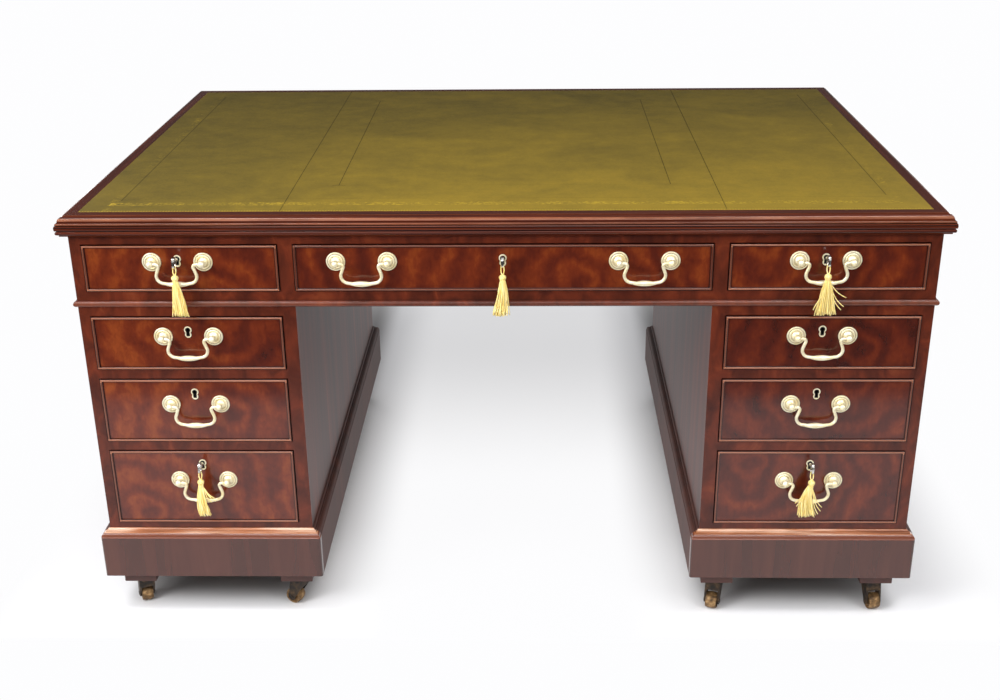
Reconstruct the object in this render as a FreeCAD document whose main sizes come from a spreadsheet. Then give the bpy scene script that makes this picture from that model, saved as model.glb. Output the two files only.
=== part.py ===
# A mahogany pedestal desk: a leather-lined top over a frieze of three drawers, two pedestals of three
# drawers each, moulded plinths and eight castors. Millimetres, +Z up, +X right, drawers facing -Y.
# The origin is on the floor, under the middle of the desk's whole box.
import FreeCAD, Part
import Sketcher
import math
import os

SIZES = {
    # Plan of the top, and how far it stands out past the carcase
    "desk_width": 1520,
    "desk_depth": 1060,
    "overhang": 17,
    # Moulded edging of the top, from its soffit upwards
    "edging_width": 34,
    "edging_foot": 3,
    "edging_foot_inset": 6,
    "edging_bead": 7,
    "edging_bead_inset": 3.5,
    "edging_bead_rise": 2.5,
    "edging_quirk": 1,
    "edging_nose": 8,
    "edging_nose_rise": 0.8,
    "edging_reed": 5,
    "edging_reed_inset": 4,
    "edging_reed_rise": 2,
    "edging_reed_quirk": 1,
    "edging_ovolo": 8.5,
    "edging_fillet": 1.5,
    "edging_border": 20,
    # Leather skivers
    "leather_thickness": 1.2,
    "centre_leather_width": 760,
    # Frieze
    "frieze_drawer_height": 86,
    "frieze_top_rail": 17.5,
    "frieze_lower_rail": 27.5,
    "frieze_divider": 25,
    "waist_height": 11,
    "waist_step": 2,
    "waist_nose": 4,
    # Pedestals
    "pedestal_width": 382,
    "outer_stile": 19,
    "inner_stile": 24,
    "bottom_rail": 12,
    "lower_drawer_height": 151,
    "middle_drawer_height": 125,
    "upper_drawer_height": 102,
    "drawer_rail": 17.5,
    "pedestal_top": 18,
    "rail_depth": 60,
    "runner_width": 22,
    "runner_height": 16,
    "runner_reach": 600,
    "bearer_depth": 40,
    "stop_length": 30,
    "stop_width": 40,
    "stop_height": 5,
    "stop_inset": 60,
    "back_thickness": 19,
    "back_frame": 60,
    "back_panel": 8,
    "back_panel_setback": 6,
    # Plinths and castor blocks
    "plinth_thickness": 26,
    "plinth_projection": 15.5,
    "plinth_face": 82,
    "plinth_corner": 5,
    "plinth_ease": 1.5,
    "plinth_ovolo": 7.5,
    "plinth_fillet": 2,
    "plinth_bead": 4,
    "block_size": 60,
    "block_drop": 28,
    "block_rise": 45,
    # Drawers
    "drawer_clearance": 1.5,
    "drawer_length": 560,
    "front_thickness": 20,
    "bead_width": 4,
    "bead_proud": 3.5,
    "bead_depth": 11,
    "bead_round": 1.8,
    "lining": 10,
    "lining_drop": 10,
    "drawer_bottom": 6,
    "bottom_rise": 8,
    # Swan-neck handles
    "post_spacing": 89,
    "centre_handle_offset": 118,
    "frieze_handle_shift": 5,
    "frieze_handle_drop": 31.5,
    "upper_handle_drop": 38,
    "middle_handle_drop": 49.5,
    "lower_handle_drop": 60.5,
    "rose_radius": 16.5,
    "rose_rim": 2.4,
    "rose_rim_width": 2.6,
    "rose_rim_round": 1.2,
    "rose_groove": 1.2,
    "rose_groove_width": 0.9,
    "rose_ring_base": 2,
    "rose_ring_width": 3.2,
    "rose_ring_rise": 1.2,
    "rose_dish": 1.6,
    "rose_dome_radius": 8.5,
    "rose_dome_height": 5.5,
    "post_radius": 4.2,
    "post_reach": 15,
    "knuckle_radius": 6.3,
    "shank_radius": 3,
    "nut_radius": 6.5,
    "nut_thickness": 4,
    "shank_end": 2,
    "bail_radius": 2.8,
    "bail_drop": 36,
    "bail_pin_reach": 3,
    "bail_neck_radius": 5,
    "bail_splay": 20,
    "bail_corner_radius": 13,
    "bail_foot_radius": 153,
    "bail_foot_angle": 9,
    "bail_grip": 44,
    "bail_grip_end_radius": 1,
    "bail_grip_rise": 3.9,
    # Locks, escutcheons and keys
    "key_drop": 26,
    "escutcheon_radius": 6.7,
    "escutcheon_foot": 5.6,
    "escutcheon_drop": 14.5,
    "escutcheon_proud": 1.2,
    "keyhole_radius": 3.2,
    "keyhole_foot": 2.3,
    "keyhole_drop": 10.5,
    "lock_width": 46,
    "lock_depth": 14,
    "lock_below_key": 14,
    "lock_below_edge": 3,
    "lock_plate": 2,
    "chamber_radius": 9,
    "chamber_depth": 10,
    "bolt_width": 18,
    "bolt_thickness": 6,
    "bolt_above_key": 11,
    "key_shank_radius": 2.6,
    "key_shank_reach": 15,
    "bow_half_straight": 2.5,
    "bow_radius": 8,
    "bow_hole_radius": 5,
    "bow_thickness": 4,
    "bow_near": 14,
    "bit_setback": 3,
    "bit_length": 6,
    "bit_drop": 7.5,
    "bit_thickness": 2.2,
    # Tassels
    "tassel_hang": 26.5,
    "tassel_half_depth": 6,
    "tassel_half_width": 14,
    "tassel_cord_radius": 1.7,
    "tassel_cord_length": 10,
    "tassel_head_radius": 6,
    "tassel_neck_radius": 4.5,
    "tassel_neck_drop": 20,
    "tassel_length": 85,
    # Castors
    "castor_height": 66,
    "castor_trail": 12,
    "wheel_radius": 16.5,
    "wheel_width": 20.5,
    "wheel_crown": 1.5,
    "wheel_hub_radius": 8,
    "wheel_web_radius": 12,
    "wheel_web_recess": 2,
    "axle_radius": 4,
    "axle_length": 31,
    "horn_width": 29,
    "horn_slot": 21.5,
    "horn_slot_top": 39,
    "horn_shoulder": 43,
    "horn_top": 57,
    "horn_half_depth": 12,
    "horn_eye": 7,
    "horn_collar_radius": 16,
    "horn_collar_base": 55,
    "horn_collar_height": 6,
    "horn_cap_radius": 9,
    "stem_radius": 5,
    "stem_length": 28,
    # Fits
    "running_gap": 0.3,
    "seat_gap": 0.02,
    "inlay_gap": 0.15,
    "cut_margin": 1,
}

# Places that follow from the sizes, in the order in which they build on each other
LEVELS = {
    "front_reach": "Sizes.tassel_hang + Sizes.tassel_half_depth - Sizes.overhang",
    "top_front": "-(Sizes.desk_depth - front_reach) / 2",
    "top_back": "top_front + Sizes.desk_depth",
    "case_front": "top_front + Sizes.overhang",
    "case_back": "top_back - Sizes.overhang",
    "case_half": "Sizes.desk_width / 2 - Sizes.overhang",
    "pedestal_inner": "case_half - Sizes.pedestal_width",
    "opening_outer": "case_half - Sizes.outer_stile",
    "opening_inner": "pedestal_inner + Sizes.inner_stile",
    "centre_half": "opening_inner - Sizes.frieze_divider",
    "centre_handle": "centre_half - Sizes.centre_handle_offset",
    "side_drawer_middle": "(opening_outer + opening_inner) / 2",
    "plinth_moulding": "Sizes.plinth_ease + Sizes.plinth_ovolo + Sizes.plinth_fillet + Sizes.plinth_bead",
    "plinth_bottom": "Sizes.castor_height + Sizes.block_drop",
    "pedestal_bottom": "plinth_bottom + Sizes.plinth_face + plinth_moulding",
    "lower_sill": "pedestal_bottom + Sizes.bottom_rail",
    "middle_sill": "lower_sill + Sizes.lower_drawer_height + Sizes.drawer_rail",
    "upper_sill": "middle_sill + Sizes.middle_drawer_height + Sizes.drawer_rail",
    "frieze_bottom": "upper_sill + Sizes.upper_drawer_height + Sizes.pedestal_top",
    "frieze_sill": "frieze_bottom + Sizes.frieze_lower_rail",
    "frieze_head": "frieze_sill + Sizes.frieze_drawer_height",
    "top_bottom": "frieze_head + Sizes.frieze_top_rail",
    "nose_bottom": "Sizes.edging_foot + Sizes.edging_bead + Sizes.edging_quirk",
    "nose_top": "nose_bottom + Sizes.edging_nose",
    "reed_top": "nose_top + Sizes.edging_reed",
    "ovolo_bottom": "reed_top + Sizes.edging_reed_quirk",
    "top_thickness": "ovolo_bottom + Sizes.edging_ovolo + Sizes.edging_fillet",
    "desk_height": "top_bottom + top_thickness",
    "plinth_in": "pedestal_inner - Sizes.plinth_projection + Sizes.plinth_thickness",
    "plinth_out": "case_half + Sizes.plinth_projection - Sizes.plinth_thickness",
    "plinth_front": "case_front - Sizes.plinth_projection + Sizes.plinth_thickness",
    "plinth_back": "case_back + Sizes.plinth_projection - Sizes.plinth_thickness",
    "front_back": "case_front + Sizes.front_thickness",
    "drawer_end": "case_front + Sizes.drawer_length",
    "runner_end": "case_front + Sizes.runner_reach",
    "bead_back": "case_front - Sizes.bead_proud + Sizes.bead_depth",
    "foot_x": "Sizes.bail_foot_radius * sin(Sizes.bail_foot_angle)",
    "foot_z": "Sizes.bail_foot_radius * (1 - cos(Sizes.bail_foot_angle)) - Sizes.bail_drop",
    "corner_x": "foot_x - Sizes.bail_corner_radius * sin(Sizes.bail_foot_angle)",
    "corner_z": "foot_z + Sizes.bail_corner_radius * cos(Sizes.bail_foot_angle)",
    "corner_start_x": "corner_x + Sizes.bail_corner_radius * cos(Sizes.bail_splay)",
    "corner_start_z": "corner_z + Sizes.bail_corner_radius * sin(Sizes.bail_splay)",
    "neck_end_z": "-Sizes.bail_neck_radius * (1 + sin(Sizes.bail_splay))",
    "neck_end_x": "corner_start_x - (neck_end_z - corner_start_z) * tan(Sizes.bail_splay)",
    "neck_x": "neck_end_x + Sizes.bail_neck_radius * cos(Sizes.bail_splay)",
    "bow_reach": "Sizes.bow_half_straight + Sizes.bow_radius",
    "bow_middle": "Sizes.bow_near + Sizes.bow_radius",
}

# Each drawer: its span across the desk, sill, opening height, handle drop, handle places and tassel lean
LEFT_SPAN = ("-Levels.opening_outer", "-Levels.opening_inner")
RIGHT_SPAN = ("Levels.opening_inner", "Levels.opening_outer")
CENTRE_SPAN = ("-Levels.centre_half", "Levels.centre_half")
LEFT_MIDDLE = "-Levels.side_drawer_middle"
RIGHT_MIDDLE = "Levels.side_drawer_middle"
LEFT_FRIEZE_MIDDLE = "-Levels.side_drawer_middle - Sizes.frieze_handle_shift"
RIGHT_FRIEZE_MIDDLE = "Levels.side_drawer_middle - Sizes.frieze_handle_shift"
DRAWERS = {
    "left_frieze": (LEFT_SPAN, "frieze", LEFT_FRIEZE_MIDDLE, 3),
    "centre_frieze": (CENTRE_SPAN, "frieze", "0", -5),
    "right_frieze": (RIGHT_SPAN, "frieze", RIGHT_FRIEZE_MIDDLE, 2),
    "left_upper": (LEFT_SPAN, "upper", LEFT_MIDDLE, None),
    "left_middle": (LEFT_SPAN, "middle", LEFT_MIDDLE, None),
    "left_lower": (LEFT_SPAN, "lower", LEFT_MIDDLE, 2),
    "right_upper": (RIGHT_SPAN, "upper", RIGHT_MIDDLE, None),
    "right_middle": (RIGHT_SPAN, "middle", RIGHT_MIDDLE, None),
    "right_lower": (RIGHT_SPAN, "lower", RIGHT_MIDDLE, -2),
}
# Each castor's turn about its stem, in degrees, as it was left standing
CASTOR_TURNS = {
    "left_front_outer": 25,
    "left_front_inner": 65,
    "right_front_inner": 160,
    "right_front_outer": 190,
    "left_back_outer": 30,
    "left_back_inner": -40,
    "right_back_inner": 15,
    "right_back_outer": 70,
}

doc = FreeCAD.newDocument("PedestalDesk")
sizes = doc.addObject("Spreadsheet::Sheet", "Sizes")
for row, (alias, size) in enumerate(SIZES.items(), start=1):
    sizes.set(f"A{row}", alias)
    sizes.set(f"B{row}", str(size))
    sizes.setAlias(f"B{row}", alias)
levels = doc.addObject("Spreadsheet::Sheet", "Levels")
for row, (alias, formula) in enumerate(LEVELS.items(), start=1):
    levels.set(f"A{row}", alias)
    levels.set(f"B{row}", "=" + formula)
    levels.setAlias(f"B{row}", alias)
doc.recompute()
nodes = {}

Z_AXIS = FreeCAD.Vector(0, 0, 1)
FACING_FRONT = FreeCAD.Rotation(Z_AXIS, 180)
ALONG_X = FreeCAD.Rotation(FreeCAD.Vector(0, 1, 0), 90)
ALONG_Y = FreeCAD.Rotation(FreeCAD.Vector(1, 0, 0), -90)


# Document helpers

def value(expression):
    """The present number of an expression on the sheets."""
    return float(sizes.evalExpression(expression))


def place(piece, x="0", y="0", z="0", turn=None):
    """Turns a piece, then ties its place to three expressions."""
    if turn:
        piece.Placement = FreeCAD.Placement(FreeCAD.Vector(), turn)
    for axis, expression in (("x", x), ("y", y), ("z", z)):
        piece.setExpression(f"Placement.Base.{axis}", expression)
    return piece


def board(name, x, y, z):
    """A square-edged board between a low and a high expression on each axis."""
    box = doc.addObject("Part::Box", name)
    for size, (low, high) in (("Length", x), ("Width", y), ("Height", z)):
        box.setExpression(size, f"({high}) - ({low})")
    return place(box, x[0], y[0], z[0])


def rod(name, radius, length, x, y, z, turn=None):
    """A round rod that starts at a point and runs along the turned Z axis."""
    cylinder = doc.addObject("Part::Cylinder", name)
    cylinder.setExpression("Radius", radius)
    cylinder.setExpression("Height", length)
    return place(cylinder, x, y, z, turn)


def cut(name, base, tool):
    result = doc.addObject("Part::Cut", name)
    result.Base = base
    result.Tool = tool
    return result


def fuse(name, pieces):
    result = doc.addObject("Part::MultiFuse", name)
    result.Shapes = pieces
    return result


def group(name, pieces):
    result = doc.addObject("Part::Compound", name)
    result.Links = pieces
    return result


def node(label, pieces):
    """Names the piece, or the group of separate pieces, that is written as one sub-part."""
    piece = pieces[0] if len(pieces) == 1 else group(label + "_pieces", pieces)
    piece.Label = label
    nodes[label] = piece


def origin_feature(body, role):
    return next(f for f in body.Origin.OriginFeatures if f.Role == role)


def sketch(body, name, plane, lift=None, rise=None):
    """A sketch on one of the body's own planes, lifted off it or raised along the sketch's own Y."""
    drawing = body.newObject("Sketcher::SketchObject", name)
    drawing.AttachmentSupport = [(origin_feature(body, plane), "")]
    drawing.MapMode = "FlatFace"
    if lift:
        drawing.setExpression("AttachmentOffset.Base.z", lift)
    if rise:
        drawing.setExpression("AttachmentOffset.Base.y", rise)
    return drawing


def tie(drawing, kind, element, position, expression):
    """Holds one coordinate of a sketched point at an expression."""
    rule = Sketcher.Constraint(kind, -1, 1, element, position, value(expression))
    index = drawing.addConstraint(rule)
    drawing.setExpression(f"Constraints[{index}]", expression)


def tie_radius(drawing, element, expression):
    index = drawing.addConstraint(Sketcher.Constraint("Radius", element, value(expression)))
    drawing.setExpression(f"Constraints[{index}]", expression)


def outline(drawing, corners, closed=True):
    """Lines and arcs through corners that are tied to expressions.

    A corner is (x, y), reached by a line, or (x, y, radius, turn), reached by an arc of under half a
    circle that turns left or right.
    """
    points = [FreeCAD.Vector(value(corner[0]), value(corner[1])) for corner in corners]
    ends = []
    for i in range(0 if closed else 1, len(corners)):
        start = points[i - 1]
        end = points[i]
        if len(corners[i]) == 2:
            element = drawing.addGeometry(Part.LineSegment(start, end))
            ends.append((element, 1, 2))
        else:
            radius = value(corners[i][2])
            left = corners[i][3] == "left"
            chord = end - start
            across = FreeCAD.Vector(-chord.y, chord.x, 0).normalize()
            rise = math.sqrt(max(radius ** 2 - chord.Length ** 2 / 4, 0))
            centre = (start + end) * 0.5 + across * (rise if left else -rise)
            first, last = (start, end) if left else (end, start)
            angles = [math.atan2(p.y - centre.y, p.x - centre.x) for p in (first, last)]
            circle = Part.Circle(centre, Z_AXIS, radius)
            element = drawing.addGeometry(Part.ArcOfCircle(circle, *angles))
            ends.append((element, 1, 2) if left else (element, 2, 1))
    targets = corners if closed else corners[1:]
    for i, (element, start, end) in enumerate(ends):
        before = ends[i - 1]
        if closed or i:
            drawing.addConstraint(Sketcher.Constraint("Coincident", before[0], before[2], element, start))
        else:
            tie(drawing, "DistanceX", element, start, corners[0][0])
            tie(drawing, "DistanceY", element, start, corners[0][1])
        tie(drawing, "DistanceX", element, end, targets[i][0])
        tie(drawing, "DistanceY", element, end, targets[i][1])
        if len(targets[i]) == 4:
            tie_radius(drawing, element, targets[i][2])


def ring(drawing, x, y, radius):
    """A circle whose centre and radius are tied to expressions."""
    centre = FreeCAD.Vector(value(x), value(y))
    element = drawing.addGeometry(Part.Circle(centre, Z_AXIS, value(radius)))
    tie(drawing, "DistanceX", element, 3, x)
    tie(drawing, "DistanceY", element, 3, y)
    tie_radius(drawing, element, radius)


def bow_radius(chord, rise):
    """The radius of an arc from its chord and its rise."""
    return f"(({chord}) ^ 2 / 4 + ({rise}) ^ 2) / (2 * ({rise}))"


def feature(body, kind, name, profile, **settings):
    """A PartDesign feature on a profile; text settings are expressions, others plain values."""
    result = body.newObject("PartDesign::" + kind, name)
    result.Profile = profile
    for key, setting in settings.items():
        if isinstance(setting, str) and key in ("Length", "Radius"):
            result.setExpression(key, setting)
        else:
            setattr(result, key, setting)
    return result


def revolve(body, name, drawing, axis):
    return feature(body, "Revolution", name, drawing, ReferenceAxis=(origin_feature(body, axis), [""]))


# Mitred mouldings

def mitred_length(name, section, width, run, corner):
    """A moulded length with mitred ends, whose section is drawn outwards (Y) and upwards (Z).

    run is the length of its inner edge, width how far the section reaches outwards, and corner the
    radius that rounds its outer corners, or None to leave them sharp.
    """
    body = doc.addObject("PartDesign::Body", name)
    profile = sketch(body, name + "_section", "YZ_Plane")
    outline(profile, section)
    feature(body, "Pad", name + "_length", profile, SideType="Symmetric", Length=f"{run} + 2 * ({width})")
    ends = sketch(body, name + "_ends", "XY_Plane")
    margin = "Sizes.cut_margin"
    for side in (1, -1):
        near = f"{side} * (({run}) / 2 - {margin})"
        far = f"{side} * (({run}) / 2 + {width} + {margin})"
        edge = [(far, f"{width} + {margin}")]
        if corner:
            rounded_x = f"{side} * (({run}) / 2 + {width} - {corner})"
            on_mitre = f"{width} - {corner} * (1 - cos(45))"
            edge = [
                (f"{side} * (({run}) / 2 + {on_mitre})", on_mitre),
                (rounded_x, width, corner, "left" if side > 0 else "right"),
                (rounded_x, f"{width} + {margin}"),
            ] + edge
        outline(ends, [(near, f"-{margin}")] + edge + [(far, f"-{margin}")])
    feature(body, "Pocket", name + "_mitres", ends, SideType="Symmetric", Type="ThroughAll")
    return body


def mitred_frame(name, section, width, x, y, z, corner=None):
    """Four mitred lengths round the outside of a rectangle."""
    across = f"(({x[1]}) - ({x[0]}))"
    along = f"(({y[1]}) - ({y[0]}))"
    middle_x = f"({x[0]} + {x[1]}) / 2"
    middle_y = f"({y[0]} + {y[1]}) / 2"
    sides = (
        ("front", across, 180, middle_x, y[0]),
        ("back", across, 0, middle_x, y[1]),
        ("right", along, -90, x[1], middle_y),
        ("left", along, 90, x[0], middle_y),
    )
    lengths = []
    for side, run, turn, at_x, at_y in sides:
        length = mitred_length(f"{name}_{side}", section, width, run, corner)
        lengths.append(place(length, at_x, at_y, z, FreeCAD.Rotation(Z_AXIS, turn)))
    return lengths


# Top: ground board, moulded edging and leather

def edging_section():
    """Foot, bead, nose, reed, ovolo and fillet of the top's edge, from the soffit upwards."""
    foot_out = "Sizes.edging_width - Sizes.edging_foot_inset"
    bead_out = "Sizes.edging_width - Sizes.edging_bead_inset"
    bead_top = "Sizes.edging_foot + Sizes.edging_bead"
    nose_out = "Sizes.edging_width - Sizes.edging_nose_rise"
    reed_out = "Sizes.edging_width - Sizes.edging_reed_inset"
    ovolo_out = "Sizes.edging_border + Sizes.edging_ovolo"
    ovolo_top = "Levels.ovolo_bottom + Sizes.edging_ovolo"
    return [
        ("0", "0"),
        (foot_out, "0"),
        (foot_out, "Sizes.edging_foot"),
        (bead_out, "Sizes.edging_foot"),
        (bead_out, bead_top, bow_radius("Sizes.edging_bead", "Sizes.edging_bead_rise"), "left"),
        (bead_out, "Levels.nose_bottom"),
        (nose_out, "Levels.nose_bottom"),
        (nose_out, "Levels.nose_top", bow_radius("Sizes.edging_nose", "Sizes.edging_nose_rise"), "left"),
        (reed_out, "Levels.nose_top"),
        (reed_out, "Levels.reed_top", bow_radius("Sizes.edging_reed", "Sizes.edging_reed_rise"), "left"),
        (ovolo_out, "Levels.reed_top"),
        (ovolo_out, "Levels.ovolo_bottom"),
        ("Sizes.edging_border", ovolo_top, "Sizes.edging_ovolo", "left"),
        ("Sizes.edging_border", "Levels.top_thickness"),
        ("0", "Levels.top_thickness"),
    ]


def make_top():
    half = "(Sizes.desk_width / 2 - Sizes.edging_width)"
    x = (f"-{half}", half)
    y = ("Levels.top_front + Sizes.edging_width", "Levels.top_back - Sizes.edging_width")
    ground_top = "Levels.desk_height - Sizes.leather_thickness"
    ground = board("top_ground", x, y, ("Levels.top_bottom", ground_top))
    edging = mitred_frame("top_edging", edging_section(), "Sizes.edging_width", x, y, "Levels.top_bottom")
    node("top_board", [ground] + edging)
    seam = "Sizes.centre_leather_width / 2"
    skivers = []
    for name, span in (("left", (x[0], f"-{seam}")), ("centre", (f"-{seam}", seam)), ("right", (seam, x[1]))):
        skivers.append(board(name + "_skiver", span, y, (ground_top, "Levels.desk_height")))
    node("leather_skivers", skivers)


# Frieze: the drawer case under the top

def drawer_stops(name, span, sill):
    """Two small blocks on a rail or bottom board, against which the drawer front closes."""
    y = ("Levels.front_back", "Levels.front_back + Sizes.stop_length")
    z = (sill, f"{sill} + Sizes.stop_height")
    left = f"{span[0]} + Sizes.stop_inset"
    right = f"{span[1]} - Sizes.stop_inset"
    return [
        board(name + "_left_stop", (left, f"{left} + Sizes.stop_width"), y, z),
        board(name + "_right_stop", (f"{right} - Sizes.stop_width", right), y, z),
    ]


def waist_section():
    bend = bow_radius("Sizes.waist_height", "Sizes.waist_nose")
    return [
        ("0", "0"),
        ("Sizes.waist_step", "0"),
        ("Sizes.waist_step", "Sizes.waist_height", bend, "left"),
        ("0", "Sizes.waist_height"),
    ]


def make_frieze():
    outer = ("-Levels.opening_outer", "Levels.opening_outer")
    full_depth = ("Levels.case_front", "Levels.case_back")
    rail_y = ("Levels.case_front", "Levels.case_front + Sizes.rail_depth")
    runner_y = (rail_y[1], "Levels.runner_end")
    full_height = ("Levels.frieze_bottom", "Levels.top_bottom")
    lower_z = ("Levels.frieze_bottom", "Levels.frieze_sill")
    runner_z = ("Levels.frieze_sill - Sizes.runner_height", "Levels.frieze_sill")
    bearer_y = ("Levels.runner_end", "Levels.runner_end + Sizes.bearer_depth")
    back_y = ("Levels.case_back - Sizes.back_thickness", "Levels.case_back")
    pieces = [
        board("frieze_top_rail", outer, rail_y, ("Levels.frieze_head", "Levels.top_bottom")),
        board("frieze_lower_rail", outer, rail_y, lower_z),
        board("frieze_bearer", outer, bearer_y, lower_z),
        board("frieze_back", outer, back_y, full_height),
    ]
    for side in (-1, 1):
        name = "left" if side < 0 else "right"
        end = span_on(side, "Levels.opening_outer", "Levels.case_half")
        divider = span_on(side, "Levels.centre_half", "Levels.opening_inner")
        outer_run = span_on(side, "Levels.opening_outer - Sizes.runner_width", "Levels.opening_outer")
        inner_run = span_on(
            side, "Levels.centre_half - Sizes.runner_width", "Levels.opening_inner + Sizes.runner_width"
        )
        divider_y = ("Levels.case_front", "Levels.runner_end")
        divider_z = ("Levels.frieze_sill", "Levels.frieze_head")
        pieces += [
            board(name + "_frieze_end", end, full_depth, full_height),
            board(name + "_frieze_divider", divider, divider_y, divider_z),
            board(name + "_frieze_outer_runner", outer_run, runner_y, runner_z),
            board(name + "_frieze_inner_runner", inner_run, runner_y, runner_z),
        ]
    for name, span in (("left", LEFT_SPAN), ("centre", CENTRE_SPAN), ("right", RIGHT_SPAN)):
        pieces += drawer_stops(name + "_frieze", span, "Levels.frieze_sill")
    waist_x = ("-Levels.case_half", "Levels.case_half")
    reach = "Sizes.waist_step + Sizes.waist_nose"
    pieces += mitred_frame("waist", waist_section(), reach, waist_x, full_depth, "Levels.frieze_bottom")
    node("frieze_carcase", pieces)


def span_on(side, near, far):
    """A span from near to far of the middle, on the left (-1) or the right (1), lowest first."""
    return (near, far) if side > 0 else (f"-({far})", f"-({near})")


# Pedestals

def make_pedestal(name, side):
    span = RIGHT_SPAN if side > 0 else LEFT_SPAN
    full_depth = ("Levels.case_front", "Levels.case_back")
    full_height = ("Levels.pedestal_bottom", "Levels.frieze_bottom")
    back_y = ("Levels.case_back - Sizes.back_thickness", "Levels.case_back")
    shelf_y = ("Levels.case_front", back_y[0])
    rail_y = ("Levels.case_front", "Levels.case_front + Sizes.rail_depth")
    runner_y = (rail_y[1], "Levels.runner_end")
    outer = span_on(side, "Levels.opening_outer", "Levels.case_half")
    inner = span_on(side, "Levels.pedestal_inner", "Levels.opening_inner")
    top_z = ("Levels.frieze_bottom - Sizes.pedestal_top", "Levels.frieze_bottom")
    pieces = [
        board(name + "_outer_side", outer, full_depth, full_height),
        board(name + "_inner_side", inner, full_depth, full_height),
        board(name + "_top", span, shelf_y, top_z),
        board(name + "_bottom", span, shelf_y, ("Levels.pedestal_bottom", "Levels.lower_sill")),
    ]
    low_run = (span[0], f"{span[0]} + Sizes.runner_width")
    high_run = (f"{span[1]} - Sizes.runner_width", span[1])
    for sill in ("middle", "upper"):
        level = f"Levels.{sill}_sill"
        runner_z = (f"{level} - Sizes.runner_height", level)
        pieces += [
            board(f"{name}_{sill}_rail", span, rail_y, (f"{level} - Sizes.drawer_rail", level)),
            board(f"{name}_{sill}_left_runner", low_run, runner_y, runner_z),
            board(f"{name}_{sill}_right_runner", high_run, runner_y, runner_z),
        ]
    for sill in ("lower", "middle", "upper"):
        pieces += drawer_stops(f"{name}_{sill}", span, f"Levels.{sill}_sill")
    low_stile = (span[0], f"{span[0]} + Sizes.back_frame")
    high_stile = (f"{span[1]} - Sizes.back_frame", span[1])
    between = (low_stile[1], high_stile[0])
    foot = (full_height[0], f"{full_height[0]} + Sizes.back_frame")
    head = (f"{full_height[1]} - Sizes.back_frame", full_height[1])
    panel_face = "Levels.case_back - Sizes.back_panel_setback"
    pieces += [
        board(name + "_back_left_stile", low_stile, back_y, full_height),
        board(name + "_back_right_stile", high_stile, back_y, full_height),
        board(name + "_back_foot_rail", between, back_y, foot),
        board(name + "_back_head_rail", between, back_y, head),
        board(name + "_back_panel", between, (f"{panel_face} - Sizes.back_panel", panel_face), (foot[1], head[0])),
    ]
    node(name + "_pedestal_carcase", pieces)


# Plinths and castor blocks

def plinth_section():
    """Flat face, eased arris, ovolo, fillet and bead of a plinth board, from the bottom upwards."""
    face_out = "Sizes.plinth_thickness"
    ease_out = "Sizes.plinth_thickness - Sizes.plinth_ease"
    ease_top = "Sizes.plinth_face + Sizes.plinth_ease"
    ovolo_in = f"{ease_out} - Sizes.plinth_ovolo"
    ovolo_top = f"{ease_top} + Sizes.plinth_ovolo"
    fillet_top = f"{ovolo_top} + Sizes.plinth_fillet"
    case_face = "Sizes.plinth_thickness - Sizes.plinth_projection"
    top = "Sizes.plinth_face + Levels.plinth_moulding"
    return [
        ("0", "0"),
        (face_out, "0"),
        (face_out, "Sizes.plinth_face"),
        (ease_out, ease_top),
        (ovolo_in, ovolo_top, "Sizes.plinth_ovolo", "left"),
        (ovolo_in, fillet_top),
        (f"{case_face} + Sizes.plinth_bead", fillet_top),
        (case_face, top, "Sizes.plinth_bead", "left"),
        ("0", top),
    ]


def castor_places(side):
    """The four castor places of a pedestal: name, low corner of the block on X and on Y."""
    inner_x = span_on(side, "Levels.plinth_in", "Levels.plinth_in + Sizes.block_size")[0]
    outer_x = span_on(side, "Levels.plinth_out - Sizes.block_size", "Levels.plinth_out")[0]
    front_y = "Levels.plinth_front"
    back_y = "Levels.plinth_back - Sizes.block_size"
    name = "right" if side > 0 else "left"
    for depth, y in (("front", front_y), ("back", back_y)):
        for hand, x in (("inner", inner_x), ("outer", outer_x)):
            yield f"{name}_{depth}_{hand}", x, y


def make_plinths():
    pieces = []
    for side in (-1, 1):
        name = "left" if side < 0 else "right"
        x = span_on(side, "Levels.plinth_in", "Levels.plinth_out")
        y = ("Levels.plinth_front", "Levels.plinth_back")
        width = "Sizes.plinth_thickness"
        pieces += mitred_frame(
            name + "_plinth", plinth_section(), width, x, y, "Levels.plinth_bottom", "Sizes.plinth_corner"
        )
        for place_name, low_x, low_y in castor_places(side):
            block = board(
                place_name + "_block_blank",
                (low_x, f"{low_x} + Sizes.block_size"),
                (low_y, f"{low_y} + Sizes.block_size"),
                ("Sizes.castor_height", "Levels.plinth_bottom + Sizes.block_rise"),
            )
            socket = rod(
                place_name + "_socket",
                "Sizes.stem_radius + Sizes.running_gap",
                "Sizes.stem_length + Sizes.running_gap",
                f"{low_x} + Sizes.block_size / 2",
                f"{low_y} + Sizes.block_size / 2",
                "Sizes.castor_height",
            )
            pieces.append(cut(place_name + "_block", block, socket))
    node("plinths", pieces)


# Castors

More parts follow.
